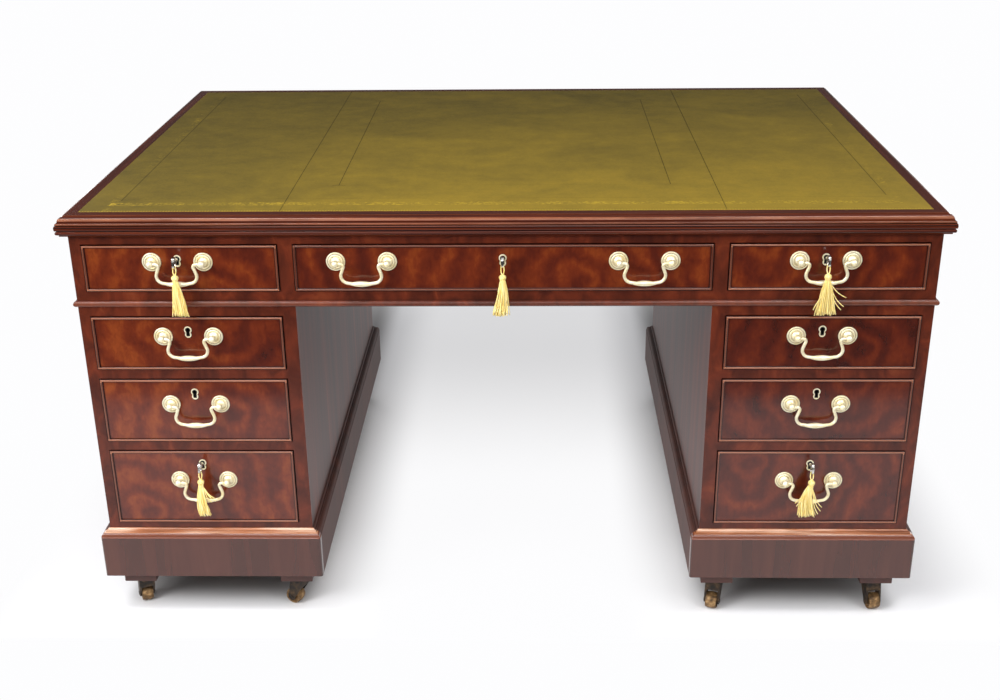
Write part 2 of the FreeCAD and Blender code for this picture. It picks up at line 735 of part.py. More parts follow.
def make_horn(name):
    """The swivelling fork: a stem and collar over two cheeks that carry the axle behind the stem."""
    body = doc.addObject("PartDesign::Body", name)
    trail = "Sizes.castor_trail"
    eye = "Sizes.horn_eye"
    depth = "Sizes.horn_half_depth"
    cheek = sketch(body, name + "_cheek", "YZ_Plane")
    outline(cheek, [
        (f"-{depth}", "Sizes.horn_top"),
        (f"-{depth}", "Sizes.horn_shoulder"),
        (f"{trail} - {eye}", "Sizes.wheel_radius"),
        (trail, f"Sizes.wheel_radius - {eye}", eye, "left"),
        (f"{trail} + {eye}", "Sizes.wheel_radius", eye, "left"),
        (depth, "Sizes.horn_top"),
    ])
    feature(body, "Pad", name + "_cheeks", cheek, SideType="Symmetric", Length="Sizes.horn_width")
    gap = sketch(body, name + "_gap", "YZ_Plane")
    reach = f"{trail} + {eye} + {depth}"
    outline(gap, [
        (f"-({reach})", "0"),
        (reach, "0"),
        (reach, "Sizes.horn_slot_top"),
        (f"-({reach})", "Sizes.horn_slot_top"),
    ])
    feature(body, "Pocket", name + "_slot", gap, SideType="Symmetric", Length="Sizes.horn_slot")
    axle_hole = sketch(body, name + "_axle_ring", "YZ_Plane")
    ring(axle_hole, trail, "Sizes.wheel_radius", "Sizes.axle_radius + Sizes.inlay_gap")
    feature(body, "Pocket", name + "_axle_hole", axle_hole, SideType="Symmetric", Type="ThroughAll")
    turned = sketch(body, name + "_turned", "XZ_Plane")
    collar_top = "Sizes.castor_height - Sizes.running_gap"
    collar_side = "Sizes.horn_collar_base + Sizes.horn_collar_height"
    stem_top = "Sizes.castor_height + Sizes.stem_length"
    outline(turned, [
        ("0", "Sizes.horn_collar_base"),
        ("Sizes.horn_collar_radius", "Sizes.horn_collar_base"),
        ("Sizes.horn_collar_radius", collar_side),
        ("Sizes.horn_cap_radius", collar_top),
        ("Sizes.stem_radius", collar_top),
        ("Sizes.stem_radius", stem_top),
        ("0", stem_top),
    ])
    revolve(body, name + "_stem", turned, "Z_Axis")
    return body


def make_wheel(name):
    """A turned wheel with a crowned tread, recessed sides, hub and bore, about the X axis."""
    body = doc.addObject("PartDesign::Body", name)
    section = sketch(body, name + "_section", "XY_Plane")
    half = "Sizes.wheel_width / 2"
    web = f"{half} - Sizes.wheel_web_recess"
    bore = "Sizes.axle_radius + Sizes.running_gap"
    edge = "Sizes.wheel_radius - Sizes.wheel_crown"
    outline(section, [
        (f"-{half}", bore),
        (half, bore),
        (half, "Sizes.wheel_hub_radius"),
        (web, "Sizes.wheel_hub_radius"),
        (web, "Sizes.wheel_web_radius"),
        (half, "Sizes.wheel_web_radius"),
        (half, edge),
        (f"-{half}", edge, bow_radius("Sizes.wheel_width", "Sizes.wheel_crown"), "left"),
        (f"-{half}", "Sizes.wheel_web_radius"),
        (f"-({web})", "Sizes.wheel_web_radius"),
        (f"-({web})", "Sizes.wheel_hub_radius"),
        (f"-{half}", "Sizes.wheel_hub_radius"),
    ])
    revolve(body, name + "_turning", section, "X_Axis")
    return body


def make_castor(name, low_x, low_y):
    turn = CASTOR_TURNS[name]
    about_stem = FreeCAD.Rotation(Z_AXIS, turn)
    x = f"{low_x} + Sizes.block_size / 2"
    y = f"{low_y} + Sizes.block_size / 2"
    horn = place(make_horn(name + "_fork"), x, y, "0", about_stem)
    axle_x = f"{x} - Sizes.castor_trail * sin({turn})"
    axle_y = f"{y} + Sizes.castor_trail * cos({turn})"
    axle = rod(
        name + "_axle",
        "Sizes.axle_radius",
        "Sizes.axle_length",
        f"{axle_x} - Sizes.axle_length / 2 * cos({turn})",
        f"{axle_y} - Sizes.axle_length / 2 * sin({turn})",
        "Sizes.wheel_radius",
        about_stem * ALONG_X,
    )
    node(name + "_castor_horn", [horn, axle])
    wheel = place(make_wheel(name + "_turned_wheel"), axle_x, axle_y, "Sizes.wheel_radius", about_stem)
    node(name + "_castor_wheel", [wheel])


# Drawers

def keyhole(name, x, z, y, eye, foot, drop):
    """A keyhole-shaped prism along Y: a round eye, a round foot below it and a straight neck between."""
    length = f"({y[1]}) - ({y[0]})"
    foot_z = f"{z} - ({drop}) + ({foot})"
    neck_x = (f"{x} - ({foot}) * cos(45)", f"{x} + ({foot}) * cos(45)")
    return fuse(name, [
        rod(name + "_eye", eye, length, x, y[0], z, ALONG_Y),
        rod(name + "_foot", foot, length, x, y[0], foot_z, ALONG_Y),
        board(name + "_neck", neck_x, y, (foot_z, z)),
    ])


def make_bead(name, x, z):
    """The cock-bead: a rounded strip let in round the edge of the drawer front, standing proud of it."""
    body = doc.addObject("PartDesign::Body", name)
    frame = sketch(body, name + "_frame", "XZ_Plane")
    width = f"({x[1]}) - ({x[0]})"
    height = f"({z[1]}) - ({z[0]})"
    strip = "Sizes.bead_width"
    outline(frame, [("0", "0"), (width, "0"), (width, height), ("0", height)])
    outline(frame, [
        (strip, strip),
        (f"{width} - {strip}", strip),
        (f"{width} - {strip}", f"{height} - {strip}"),
        (strip, f"{height} - {strip}"),
    ])
    strips = feature(body, "Pad", name + "_strips", frame, Length="Sizes.bead_depth")
    place(body, x[0], "Levels.bead_back", z[0])
    frame.recompute()
    strips.recompute()
    faces = strips.Shape.Faces
    front = min(range(len(faces)), key=lambda i: faces[i].CenterOfMass.y)
    rounding = body.newObject("PartDesign::Fillet", name + "_rounding")
    rounding.Base = (strips, [f"Face{front + 1}"])
    rounding.setExpression("Radius", "Sizes.bead_round")
    return body


def make_drawer_box(name, x, z, holes):
    """The wooden drawer: a rebated front with its cock-bead, two sides, a back and a bottom."""
    gap = "Sizes.drawer_clearance"
    strip = "Sizes.bead_width"
    front_x = (f"{x[0]} + {gap}", f"{x[1]} - {gap}")
    front_z = (f"{z[0]} + {gap}", f"{z[1]} - {gap}")
    field_x = (f"{front_x[0]} + {strip}", f"{front_x[1]} - {strip}")
    field_z = (f"{front_z[0]} + {strip}", f"{front_z[1]} - {strip}")
    body = board(name + "_front_body", front_x, ("Levels.bead_back", "Levels.front_back"), front_z)
    field = board(name + "_front_field", field_x, ("Levels.case_front", "Levels.bead_back"), field_z)
    front = cut(name + "_front", fuse(name + "_front_blank", [body, field]), group(name + "_holes", holes))
    inside_x = (f"{front_x[0]} + Sizes.lining", f"{front_x[1]} - Sizes.lining")
    side_y = ("Levels.front_back", "Levels.drawer_end")
    back_y = ("Levels.drawer_end - Sizes.lining", "Levels.drawer_end")
    side_z = (z[0], f"{z[1]} - Sizes.lining_drop")
    bottom_z = (f"{z[0]} + Sizes.bottom_rise", f"{z[0]} + Sizes.bottom_rise + Sizes.drawer_bottom")
    return [
        front,
        make_bead(name + "_bead", front_x, front_z),
        board(name + "_left_side", (front_x[0], inside_x[0]), side_y, side_z),
        board(name + "_right_side", (inside_x[1], front_x[1]), side_y, side_z),
        board(name + "_back", inside_x, back_y, (bottom_z[1], side_z[1])),
        board(name + "_bottom", inside_x, side_y, bottom_z),
    ]


def make_post(name):
    """A turned rose with its post and pierced knuckle, and a shank through the drawer front."""
    body = doc.addObject("PartDesign::Body", name)
    section = sketch(body, name + "_section", "XY_Plane")
    shank_end = "-(Sizes.front_thickness + Sizes.nut_thickness + Sizes.shank_end)"
    rim_in = "Sizes.rose_radius - Sizes.rose_rim_width"
    rim_round = "Sizes.rose_radius - Sizes.rose_rim_round"
    knuckle_start = "Sizes.post_reach - sqrt(Sizes.knuckle_radius ^ 2 - Sizes.post_radius ^ 2)"
    ring_out = f"{rim_in} - Sizes.rose_groove_width"
    ring_in = f"{ring_out} - Sizes.rose_ring_width"
    outline(section, [
        ("0", shank_end),
        ("Sizes.shank_radius", shank_end),
        ("Sizes.shank_radius", "0"),
        ("Sizes.rose_radius", "0"),
        ("Sizes.rose_radius", "Sizes.rose_rim - Sizes.rose_rim_round"),
        (rim_round, "Sizes.rose_rim", "Sizes.rose_rim_round", "left"),
        (rim_in, "Sizes.rose_rim"),
        (rim_in, "Sizes.rose_groove"),
        (ring_out, "Sizes.rose_groove"),
        (ring_out, "Sizes.rose_ring_base"),
        (ring_in, "Sizes.rose_ring_base", bow_radius("Sizes.rose_ring_width", "Sizes.rose_ring_rise"), "left"),
        (ring_in, "Sizes.rose_dish"),
        ("Sizes.rose_dome_radius", "Sizes.rose_dish"),
        ("Sizes.post_radius", "Sizes.rose_dome_height", "Sizes.rose_dome_radius", "left"),
        ("Sizes.post_radius", knuckle_start),
        ("0", "Sizes.post_reach + Sizes.knuckle_radius", "Sizes.knuckle_radius", "left"),
    ])
    revolve(body, name + "_turning", section, "Y_Axis")
    hole = sketch(body, name + "_pin_ring", "YZ_Plane")
    ring(hole, "Sizes.post_reach", "0", "Sizes.bail_radius + Sizes.running_gap")
    feature(body, "Pocket", name + "_pin_hole", hole, SideType="Symmetric", Type="ThroughAll")
    return body


def make_nut(name, x, z):
    """A round nut on the shank, drawn up against the inside of the drawer front."""
    seat = "Levels.front_back + Sizes.seat_gap"
    blank = rod(name + "_blank", "Sizes.nut_radius", "Sizes.nut_thickness", x, seat, z, ALONG_Y)
    radius = "Sizes.shank_radius + Sizes.inlay_gap"
    bore = rod(name + "_bore", radius, "Sizes.nut_thickness", x, seat, z, ALONG_Y)
    return cut(name, blank, bore)


def make_lock(name, x, key_z, edge_z):
    """A lock case behind the front with a round chamber for the key's bit, and its bolt, drawn in."""
    half = "Sizes.lock_width / 2"
    seat = "Levels.front_back + Sizes.seat_gap"
    case_y = (seat, f"{seat} + Sizes.lock_depth")
    case_top = f"{edge_z} - Sizes.lock_below_edge"
    blank = board(
        name + "_case_blank",
        (f"{x} - {half}", f"{x} + {half}"),
        case_y,
        (f"{key_z} - Sizes.lock_below_key", case_top),
    )
    plate_back = f"{case_y[0]} + Sizes.lock_plate"
    chamber = rod(
        name + "_chamber", "Sizes.chamber_radius", "Sizes.chamber_depth", x, plate_back, key_z, ALONG_Y
    )
    way = keyhole(
        name + "_way", x, key_z, (case_y[0], plate_back),
        "Sizes.keyhole_radius", "Sizes.keyhole_foot", "Sizes.chamber_radius",
    )
    bolt_x = (f"{x} - Sizes.bolt_width / 2", f"{x} + Sizes.bolt_width / 2")
    bolt_y = (plate_back, f"{plate_back} + Sizes.bolt_thickness")
    bolt_z = (f"{key_z} + Sizes.bolt_above_key", case_top)
    slot = board(name + "_bolt_slot", bolt_x, bolt_y, bolt_z)
    case = cut(name + "_case", blank, fuse(name + "_hollow", [chamber, way, slot]))
    return [case, board(name + "_bolt", bolt_x, bolt_y, bolt_z)]


def make_bail(name):
    """The swan-neck bail: a bent rod hung by its two ends, with a swelled grip along its foot."""
    body = doc.addObject("PartDesign::Body", name)
    pin_x = "Sizes.post_spacing / 2 + Sizes.bail_pin_reach"
    neck = "Sizes.bail_neck_radius"
    corner = "Sizes.bail_corner_radius"
    route = sketch(body, name + "_route", "XZ_Plane")
    outline(route, [
        (pin_x, "0"),
        ("Levels.neck_x", "0"),
        ("Levels.neck_end_x", "Levels.neck_end_z", neck, "left"),
        ("Levels.corner_start_x", "Levels.corner_start_z"),
        ("Levels.foot_x", "Levels.foot_z", corner, "right"),
        ("-Levels.foot_x", "Levels.foot_z", "Sizes.bail_foot_radius", "right"),
        ("-Levels.corner_start_x", "Levels.corner_start_z", corner, "right"),
        ("-Levels.neck_end_x", "Levels.neck_end_z"),
        ("-Levels.neck_x", "0", neck, "left"),
        (f"-({pin_x})", "0"),
    ], closed=False)
    section = sketch(body, name + "_section", "YZ_Plane", lift=pin_x)
    ring(section, "0", "0", "Sizes.bail_radius")
    feature(body, "AdditivePipe", name + "_rod", section, Spine=(route, []))
    swell = sketch(body, name + "_swell", "XZ_Plane", rise="-Sizes.bail_drop")
    end = "Sizes.bail_grip / 2"
    end_radius = "Sizes.bail_grip_end_radius"
    outline(swell, [
        (f"-{end}", "0"),
        (end, "0"),
        (end, end_radius),
        (f"-{end}", end_radius, bow_radius("Sizes.bail_grip", "Sizes.bail_grip_rise"), "left"),
    ])
    feature(body, "Revolution", name + "_grip", swell, ReferenceAxis=(swell, ["H_Axis"]))
    return body


def bow_outline(drawing, radius):
    """An upright oval of two half circles, for the key's bow and for the hole in it."""
    middle = "Levels.bow_middle"
    straight = "Sizes.bow_half_straight"
    outline(drawing, [
        (f"{middle} + {radius}", straight),
        (middle, f"{straight} + {radius}", radius, "left"),
        (f"{middle} - {radius}", straight, radius, "left"),
        (f"{middle} - {radius}", f"-{straight}"),
        (middle, f"-({straight} + {radius})", radius, "left"),
        (f"{middle} + {radius}", f"-{straight}", radius, "left"),
    ])


def make_key(name):
    """A steel key: an oval bow, a round shank through the keyhole and a bit in the lock."""
    body = doc.addObject("PartDesign::Body", name)
    bow = sketch(body, name + "_bow_outline", "YZ_Plane")
    bow_outline(bow, "Sizes.bow_radius")
    bow_outline(bow, "Sizes.bow_hole_radius")
    feature(body, "Pad", name + "_bow", bow, SideType="Symmetric", Length="Sizes.bow_thickness")
    shank = sketch(body, name + "_shank_section", "XY_Plane")
    start = "-(Sizes.front_thickness + Sizes.bit_setback + Sizes.bit_length)"
    outline(shank, [
        ("0", start),
        ("Sizes.key_shank_radius", start),
        ("Sizes.key_shank_radius", "Sizes.key_shank_reach"),
        ("0", "Sizes.key_shank_reach"),
    ])
    revolve(body, name + "_shank", shank, "Y_Axis")
    bit = sketch(body, name + "_bit_outline", "YZ_Plane")
    inner = "-(Sizes.front_thickness + Sizes.bit_setback)"
    outline(bit, [(start, "-Sizes.bit_drop"), (inner, "-Sizes.bit_drop"), (inner, "0"), (start, "0")])
    feature(body, "Pad", name + "_bit", bit, SideType="Symmetric", Length="Sizes.bit_thickness")
    return body


def oval(drawing, shift, half_width, half_depth):
    """A flattened oval of four equal arcs round (shift, 0), level at its front and back."""
    bend = f"(({half_width}) ^ 2 + ({half_depth}) ^ 2) / (2 * ({half_depth}))"
    outline(drawing, [
        (f"{shift} + {half_width}", "0", bend, "left"),
        (f"{shift}", half_depth, bend, "left"),
        (f"{shift} - {half_width}", "0", bend, "left"),
        (f"{shift}", f"-({half_depth})", bend, "left"),
    ])


def make_tassel(name, lean):
    """A hanging tassel: a short cord, a round head and a skirt that spreads and leans to one side."""
    body = doc.addObject("PartDesign::Body", name)
    turned = sketch(body, name + "_head_section", "XZ_Plane")
    cord = "Sizes.tassel_cord_radius"
    head = "Sizes.tassel_head_radius"
    cord_end = f"-(Sizes.tassel_cord_length + {head}) + sqrt({head} ^ 2 - {cord} ^ 2)"
    outline(turned, [
        ("0", "0"),
        ("0", f"-(Sizes.tassel_cord_length + 2 * {head})"),
        (cord, cord_end, head, "left"),
        (cord, "0"),
    ])
    revolve(body, name + "_head", turned, "Z_Axis")
    neck = sketch(body, name + "_neck", "XY_Plane", lift="-Sizes.tassel_neck_drop")
    oval(neck, "0", "Sizes.tassel_neck_radius", "Sizes.tassel_neck_radius")
    hem = sketch(body, name + "_hem", "XY_Plane", lift="-Sizes.tassel_length")
    oval(hem, str(lean), "Sizes.tassel_half_width", "Sizes.tassel_half_depth")
    feature(body, "AdditiveLoft", name + "_skirt", neck, Sections=[(hem, [""])], Ruled=True)
    return body


def make_drawer(name, span, row, middle, lean):
    """One drawer with its front, box, handles, lock and, where lean is given, a key and its tassel."""
    sill = f"Levels.{row}_sill"
    head = f"{sill} + Sizes.{row}_drawer_height"
    key_z = f"{head} - Sizes.key_drop"
    post_z = f"{head} - Sizes.{row}_handle_drop"
    if name == "centre_frieze":
        handles = {"_left": "-Levels.centre_handle", "_right": "Levels.centre_handle"}
    else:
        handles = {"": middle}
    through = ("Levels.case_front", "Levels.front_back")
    escutcheon = ("Levels.case_front - Sizes.escutcheon_proud", "Levels.front_back")
    mortise = keyhole(
        name + "_mortise", middle, key_z, through, "Sizes.escutcheon_radius + Sizes.inlay_gap",
        "Sizes.escutcheon_foot + Sizes.inlay_gap", "Sizes.escutcheon_drop + Sizes.inlay_gap",
    )
    plate = keyhole(
        name + "_escutcheon_blank", middle, key_z, escutcheon,
        "Sizes.escutcheon_radius", "Sizes.escutcheon_foot", "Sizes.escutcheon_drop",
    )
    opening = keyhole(
        name + "_keyhole", middle, key_z, escutcheon,
        "Sizes.keyhole_radius", "Sizes.keyhole_foot", "Sizes.keyhole_drop",
    )
    holes = [mortise]
    brasses = [cut(name + "_escutcheon", plate, opening)]
    brasses += make_lock(name + "_lock", middle, key_z, head)
    for hand, handle_x in handles.items():
        for side, sign in (("left", "-"), ("right", "+")):
            post_name = f"{name}{hand}_{side}"
            post_x = f"{handle_x} {sign} Sizes.post_spacing / 2"
            post = make_post(post_name + "_post")
            seat = "Levels.case_front - Sizes.seat_gap"
            brasses.append(place(post, post_x, seat, post_z, FACING_FRONT))
            brasses.append(make_nut(post_name + "_nut", post_x, post_z))
            hole_radius = "Sizes.shank_radius + Sizes.inlay_gap"
            holes.append(rod(
                post_name + "_hole", hole_radius, "Sizes.front_thickness",
                post_x, "Levels.case_front", post_z, ALONG_Y,
            ))
        bail = make_bail(f"{name}{hand}_swan_neck")
        place(bail, handle_x, "Levels.case_front - Sizes.post_reach", post_z)
        node(f"{name}{hand}_bail", [bail])
    node(name + "_drawer", make_drawer_box(name, span, (sill, head), holes))
    node(name + "_brasses", brasses)
    if lean is not None:
        key = place(make_key(name + "_steel_key"), middle, "Levels.case_front", key_z, FACING_FRONT)
        node(name + "_key", [key])
        top = f"{key_z} - Levels.bow_reach - Sizes.running_gap"
        tassel = place(make_tassel(name + "_silk", lean), middle, "Levels.case_front - Sizes.tassel_hang", top)
        node(name + "_tassel", [tassel])


make_top()
make_frieze()
make_pedestal("left", -1)
make_pedestal("right", 1)
make_plinths()
for drawer_name, details in DRAWERS.items():
    make_drawer(drawer_name, *details)
for desk_side in (-1, 1):
    for castor_name, block_x, block_y in castor_places(desk_side):
        make_castor(castor_name, block_x, block_y)
doc.recompute()

failed = [o.Name for o in doc.Objects if "Invalid" in o.State or "Error" in o.State]
if failed:
    raise RuntimeError("not built: " + ", ".join(failed))
for label, piece in nodes.items():
    if piece.Shape.isNull() or not piece.Shape.isValid():
        raise RuntimeError("bad shape: " + label)
os.makedirs("parts", exist_ok=True)
for label, piece in nodes.items():
    piece.Shape.exportStep(f"parts/{label}.step")
print(len(nodes), "sub-parts,", sum(len(p.Shape.Solids) for p in nodes.values()), "solids")
print("height", value("Levels.desk_height"))
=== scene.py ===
# A mahogany pedestal desk: leather-lined top, a frieze of three drawers, two pedestals of three drawers
# each, brass swan-neck handles, keys with silk tassels, moulded plinths and castors.
import math

import bpy
import numpy as np
from mathutils import Matrix, Vector


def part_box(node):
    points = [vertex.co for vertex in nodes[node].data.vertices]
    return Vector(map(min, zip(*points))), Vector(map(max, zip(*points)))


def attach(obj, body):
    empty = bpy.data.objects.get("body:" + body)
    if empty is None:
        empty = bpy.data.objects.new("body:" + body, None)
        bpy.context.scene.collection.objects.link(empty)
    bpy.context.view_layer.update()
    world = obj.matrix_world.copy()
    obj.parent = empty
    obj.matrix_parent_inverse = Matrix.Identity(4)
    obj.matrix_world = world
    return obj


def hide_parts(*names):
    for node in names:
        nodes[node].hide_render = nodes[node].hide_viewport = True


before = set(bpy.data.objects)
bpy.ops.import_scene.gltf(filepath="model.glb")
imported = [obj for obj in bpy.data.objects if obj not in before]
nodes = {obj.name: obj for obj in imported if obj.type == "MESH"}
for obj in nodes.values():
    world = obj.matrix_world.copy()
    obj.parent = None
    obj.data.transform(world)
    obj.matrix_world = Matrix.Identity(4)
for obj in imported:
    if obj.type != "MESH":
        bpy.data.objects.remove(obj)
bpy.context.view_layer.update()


# CARCASE
# Two pedestals under a frieze, of mahogany boards veneered in mahogany and French polished. The front rails
# are cross-banded, the sides have long straight grain, and the inside is left unpolished.
MM = 0.001
CASE_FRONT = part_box("left_pedestal_carcase")[0].y
CASE_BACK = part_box("left_pedestal_carcase")[1].y
CASE_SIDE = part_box("right_pedestal_carcase")[1].x
FRIEZE_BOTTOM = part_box("frieze_carcase")[0].z
WAIST_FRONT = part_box("frieze_carcase")[0].y
RAIL_DEPTH = 60 * MM
BACK_BOARD = 19 * MM
SIDE_BOARD = 19 * MM
PEDESTAL_MIDDLE = 554.5 * MM
PEDESTAL_INSIDE = 169.7 * MM
FACE_SKIN = 1.5 * MM
HAIR = 0.2 * MM
# Painted highlight on the waist moulding: the width where it starts and where it is full, and its strength at
# each
WAIST_HIGHLIGHT = (0.25, 0.45, 0.05, 0.14)
PORES = (3 * MM, 3 * MM, 30 * MM)
MAHOGANY = [(0.25, "#2f100a"), (0.45, "#43190d"), (0.6, "#541f0f"), (0.8, "#6b2f16")]
BANDING = [(0.25, "#35130c"), (0.45, "#4b1e11"), (0.6, "#5d2514"), (0.8, "#75371d")]
# The pale pink of the painted highlights on the beads and mouldings
PAINTED_HIGHLIGHT = "#a96c4e"


def linear(colour):
    """Turns an sRGB hex colour into linear red, green, blue and alpha."""
    parts = np.array([int(colour[i:i + 2], 16) for i in (1, 3, 5)]) / 255
    curve = np.where(parts <= 0.04045, parts / 12.92, ((parts + 0.055) / 1.055) ** 2.4)
    return (*curve.tolist(), 1.0)


def add(owner, kind, links=None, stops=None, take=0, **settings):
    """Adds one node to a material or the world, with its settings and links, and returns its output.

    links maps inputs, by name or number, to a value or to another node's output. stops fills a colour
    ramp. take says which output is returned, by name or number, or which run of them.
    """
    tree = owner.node_tree
    made = tree.nodes.new("ShaderNode" + kind)
    for name, setting in settings.items():
        setattr(made, name, setting)
    for key, source in (links or {}).items():
        if isinstance(source, bpy.types.NodeSocket):
            tree.links.new(source, made.inputs[key])
        else:
            made.inputs[key].default_value = source
    for number, (place, colour) in enumerate(stops or []):
        points = made.color_ramp.elements
        point = points[number] if number < 2 else points.new(place)
        point.position = place
        point.color = linear(colour)
    return made.outputs[take] if made.outputs else None


def start(name):
    """A new, empty node material, its Object coordinates and their x, y and z."""
    material = bpy.data.materials.new(name)
    material.use_nodes = True
    material.node_tree.nodes.clear()
    place = add(material, "TexCoord", take="Object")
    return material, place, add(material, "SeparateXYZ", {0: place}, take=slice(3))


def grain(material, place, size, detail=5.0, distortion=0.0, shift=(0, 0, 0), roughness=0.55):
    """Cloudy streaks from 0 to 1. size gives their length along x, y and z, in metres."""
    stretched = add(material, "Mapping", {
        "Vector": place, "Location": shift, "Scale": tuple(1 / length for length in size),
    })
    return add(material, "TexNoise", {
        "Vector": stretched, "Scale": 1.0, "Detail": detail, "Roughness": roughness, "Distortion": distortion,
    })


def shade_and_grime(material, colour, hollow_dark, reach, most):
    """Darkens a colour in corners and gaps narrower than reach, found by ambient occlusion: painted shade on
    the wood, and tarnish in the grooves of the brass.
    """
    open_sky = add(material, "AmbientOcclusion", {"Distance": reach}, take="AO", samples=6)
    share = add(material, "MapRange", {
        "Value": open_sky, "From Min": 0.25, "From Max": 0.75, "To Min": most, "To Max": 0.0,
    })
    return add(material, "MixRGB", {"Fac": share, "Color1": colour, "Color2": linear(hollow_dark)})


def polish(material, colour, height, gloss=0.25, clear=0.7, shine=0.3):
    """French-polished mahogany: a dark dielectric with a thin clear coat, and a shallow relief, with painted
    shade darkening its corners and gaps.
    """
    relief = add(material, "Bump", {"Height": height, "Strength": 0.2, "Distance": 0.4 * MM})
    # Painted shade: the colour darkens towards near black in corners and gaps, found by ambient occlusion.
    shader = add(material, "BsdfPrincipled", {
        "Base Color": shade_and_grime(material, colour, "#120503", 10 * MM, 0.85), "Roughness": gloss, "IOR": 1.5,
        "Specular IOR Level": shine, "Coat Weight": clear, "Coat Roughness": 0.1, "Normal": relief,
    })
    add(material, "OutputMaterial", {"Surface": shader})
    return material


def carcase_wood(name):
    """Cross-banded front frame, straight-grained sides and raw boards inside, told apart by place.

    Real pores are too fine to show at this distance, so they are drawn coarser, 3 mm wide.
    """
    material, place, (x, y, z) = start(name)
    side_streaks = grain(material, place, (0.05, 0.03, 0.6), distortion=0.6)
    band_streaks = grain(material, place, (0.035, 0.03, 0.06), distortion=0.8)
    pores = grain(material, place, PORES, detail=2.0)
    sides = add(material, "ValToRGB", {"Fac": side_streaks}, stops=MAHOGANY)
    bands = add(material, "ValToRGB", {"Fac": band_streaks}, stops=BANDING)
    on_front = add(material, "Math", {0: y, 1: CASE_FRONT + FACE_SKIN}, operation="LESS_THAN")
    veneer = add(material, "MixRGB", {"Fac": on_front, "Color1": sides, "Color2": bands})
    raw = add(material, "ValToRGB", {"Fac": side_streaks}, stops=[(0.3, "#5d3b20"), (0.7, "#7d5530")])
    wide = add(material, "Math", {0: x}, operation="ABSOLUTE")
    in_pedestal = add(material, "Math", {
        0: wide, 1: PEDESTAL_MIDDLE, 2: PEDESTAL_INSIDE,
    }, operation="COMPARE")
    in_frieze = add(material, "Math", {0: wide, 1: CASE_SIDE - SIDE_BOARD - HAIR}, operation="LESS_THAN")
    above = add(material, "Math", {0: z, 1: FRIEZE_BOTTOM + HAIR}, operation="GREATER_THAN")
    across = add(material, "Math", {0: in_frieze, 1: above, 2: in_pedestal}, operation="MULTIPLY_ADD")
    first, last = CASE_FRONT + RAIL_DEPTH + 1 * MM, CASE_BACK - BACK_BOARD + HAIR
    along = add(material, "Math", {0: y, 1: (first + last) / 2, 2: (last - first) / 2}, operation="COMPARE")
    inside = add(material, "Math", {0: across, 1: along}, operation="MULTIPLY", use_clamp=True)
    colour = add(material, "MixRGB", {"Fac": inside, "Color1": veneer, "Color2": raw})
    # Painted highlight: a pale pink band along the front of the waist moulding, stronger towards its outer
    # ends.
    on_waist = add(material, "Math", {0: y, 1: WAIST_FRONT + 2 * MM}, operation="LESS_THAN")
    near_x, far_x, least, most = WAIST_HIGHLIGHT
    glint = add(material, "MapRange", {
        "Value": wide, "From Min": near_x, "From Max": far_x, "To Min": least, "To Max": most,
    })
    highlit = add(material, "Math", {0: on_waist, 1: glint}, operation="MULTIPLY")
    colour = add(material, "MixRGB", {"Fac": highlit, "Color1": colour, "Color2": linear(PAINTED_HIGHLIGHT)})
    gloss = add(material, "MapRange", {"Value": on_front, "To Min": 0.46, "To Max": 0.25})
    return polish(material, colour, pores, gloss, clear=0.0, shine=0.42)


def dress(node, material):
    """Gives one CAD node its finish."""
    slots = nodes[node].data.materials
    slots.clear()
    slots.append(material)


carcase_veneer = carcase_wood("mahogany_carcase")
for node in ("frieze_carcase", "left_pedestal_carcase", "right_pedestal_carcase"):
    dress(node, carcase_veneer)


# PLINTHS
# A mitred frame of mahogany round the foot of each pedestal: a flat board veneered with upright grain
# under a run of ovolo moulding, with blocks inside the corners for the castors.
PLINTH_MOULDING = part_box("plinths")[1].z - 15.5 * MM
# Painted highlight: the moulding's upper crest, above this level, is drawn pale
PLINTH_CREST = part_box("plinths")[1].z - 7 * MM


def plinth_wood(name):
    """Upright streaks on the flat board, a lighter amber along the moulding, and a painted highlight, pale to
    nearly white, along its upper crest.
    """
    material, place, (x, y, z) = start(name)
    upright = grain(material, place, (0.04, 0.04, 0.5), distortion=0.5)
    glint = grain(material, place, (0.25, 0.25, 0.012), detail=3.0)
    board = add(material, "ValToRGB", {"Fac": upright}, stops=[
        (0.25, "#32150d"), (0.5, "#431d13"), (0.68, "#4d2418"), (0.85, "#5a2b1d"),
    ])
    moulding = add(material, "ValToRGB", {"Fac": glint}, stops=[
        (0.3, "#5a2410"), (0.5, "#b0704a"), (0.68, "#f0ccb2"),
    ])
    on_front = add(material, "Math", {0: y, 1: CASE_FRONT}, operation="LESS_THAN")
    colour = board
    # The moulding is drawn a lighter amber, and its upper crest pale as a painted highlight.
    for level, finish in ((PLINTH_MOULDING, linear("#6a3014")), (PLINTH_CREST, moulding)):
        above = add(material, "Math", {0: z, 1: level}, operation="GREATER_THAN")
        wear_and_highlight = add(material, "Math", {0: above, 1: on_front}, operation="MULTIPLY")
        colour = add(material, "MixRGB", {"Fac": wear_and_highlight, "Color1": colour, "Color2": finish})
    gloss = add(material, "MapRange", {"Value": on_front, "To Min": 0.7, "To Max": 0.22})
    return polish(material, colour, upright, gloss, clear=0.0, shine=0.8)


dress("plinths", plinth_wood("mahogany_plinth"))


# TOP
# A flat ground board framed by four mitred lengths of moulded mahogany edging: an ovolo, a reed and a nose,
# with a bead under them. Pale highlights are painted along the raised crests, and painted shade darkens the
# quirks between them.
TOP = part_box("top_board")
BORDER = 14 * MM
# Each crest with a painted highlight: its depth below the top, half its height, and how strong its painted
# highlight is
CRESTS = ((0.3 * MM, 0.6 * MM, 0.5), (6 * MM, 2 * MM, 1.0), (13.5 * MM, 2 * MM, 0.6))
QUIRKS = (18.5 * MM, 24.5 * MM)
QUIRK_HALF = 0.9 * MM


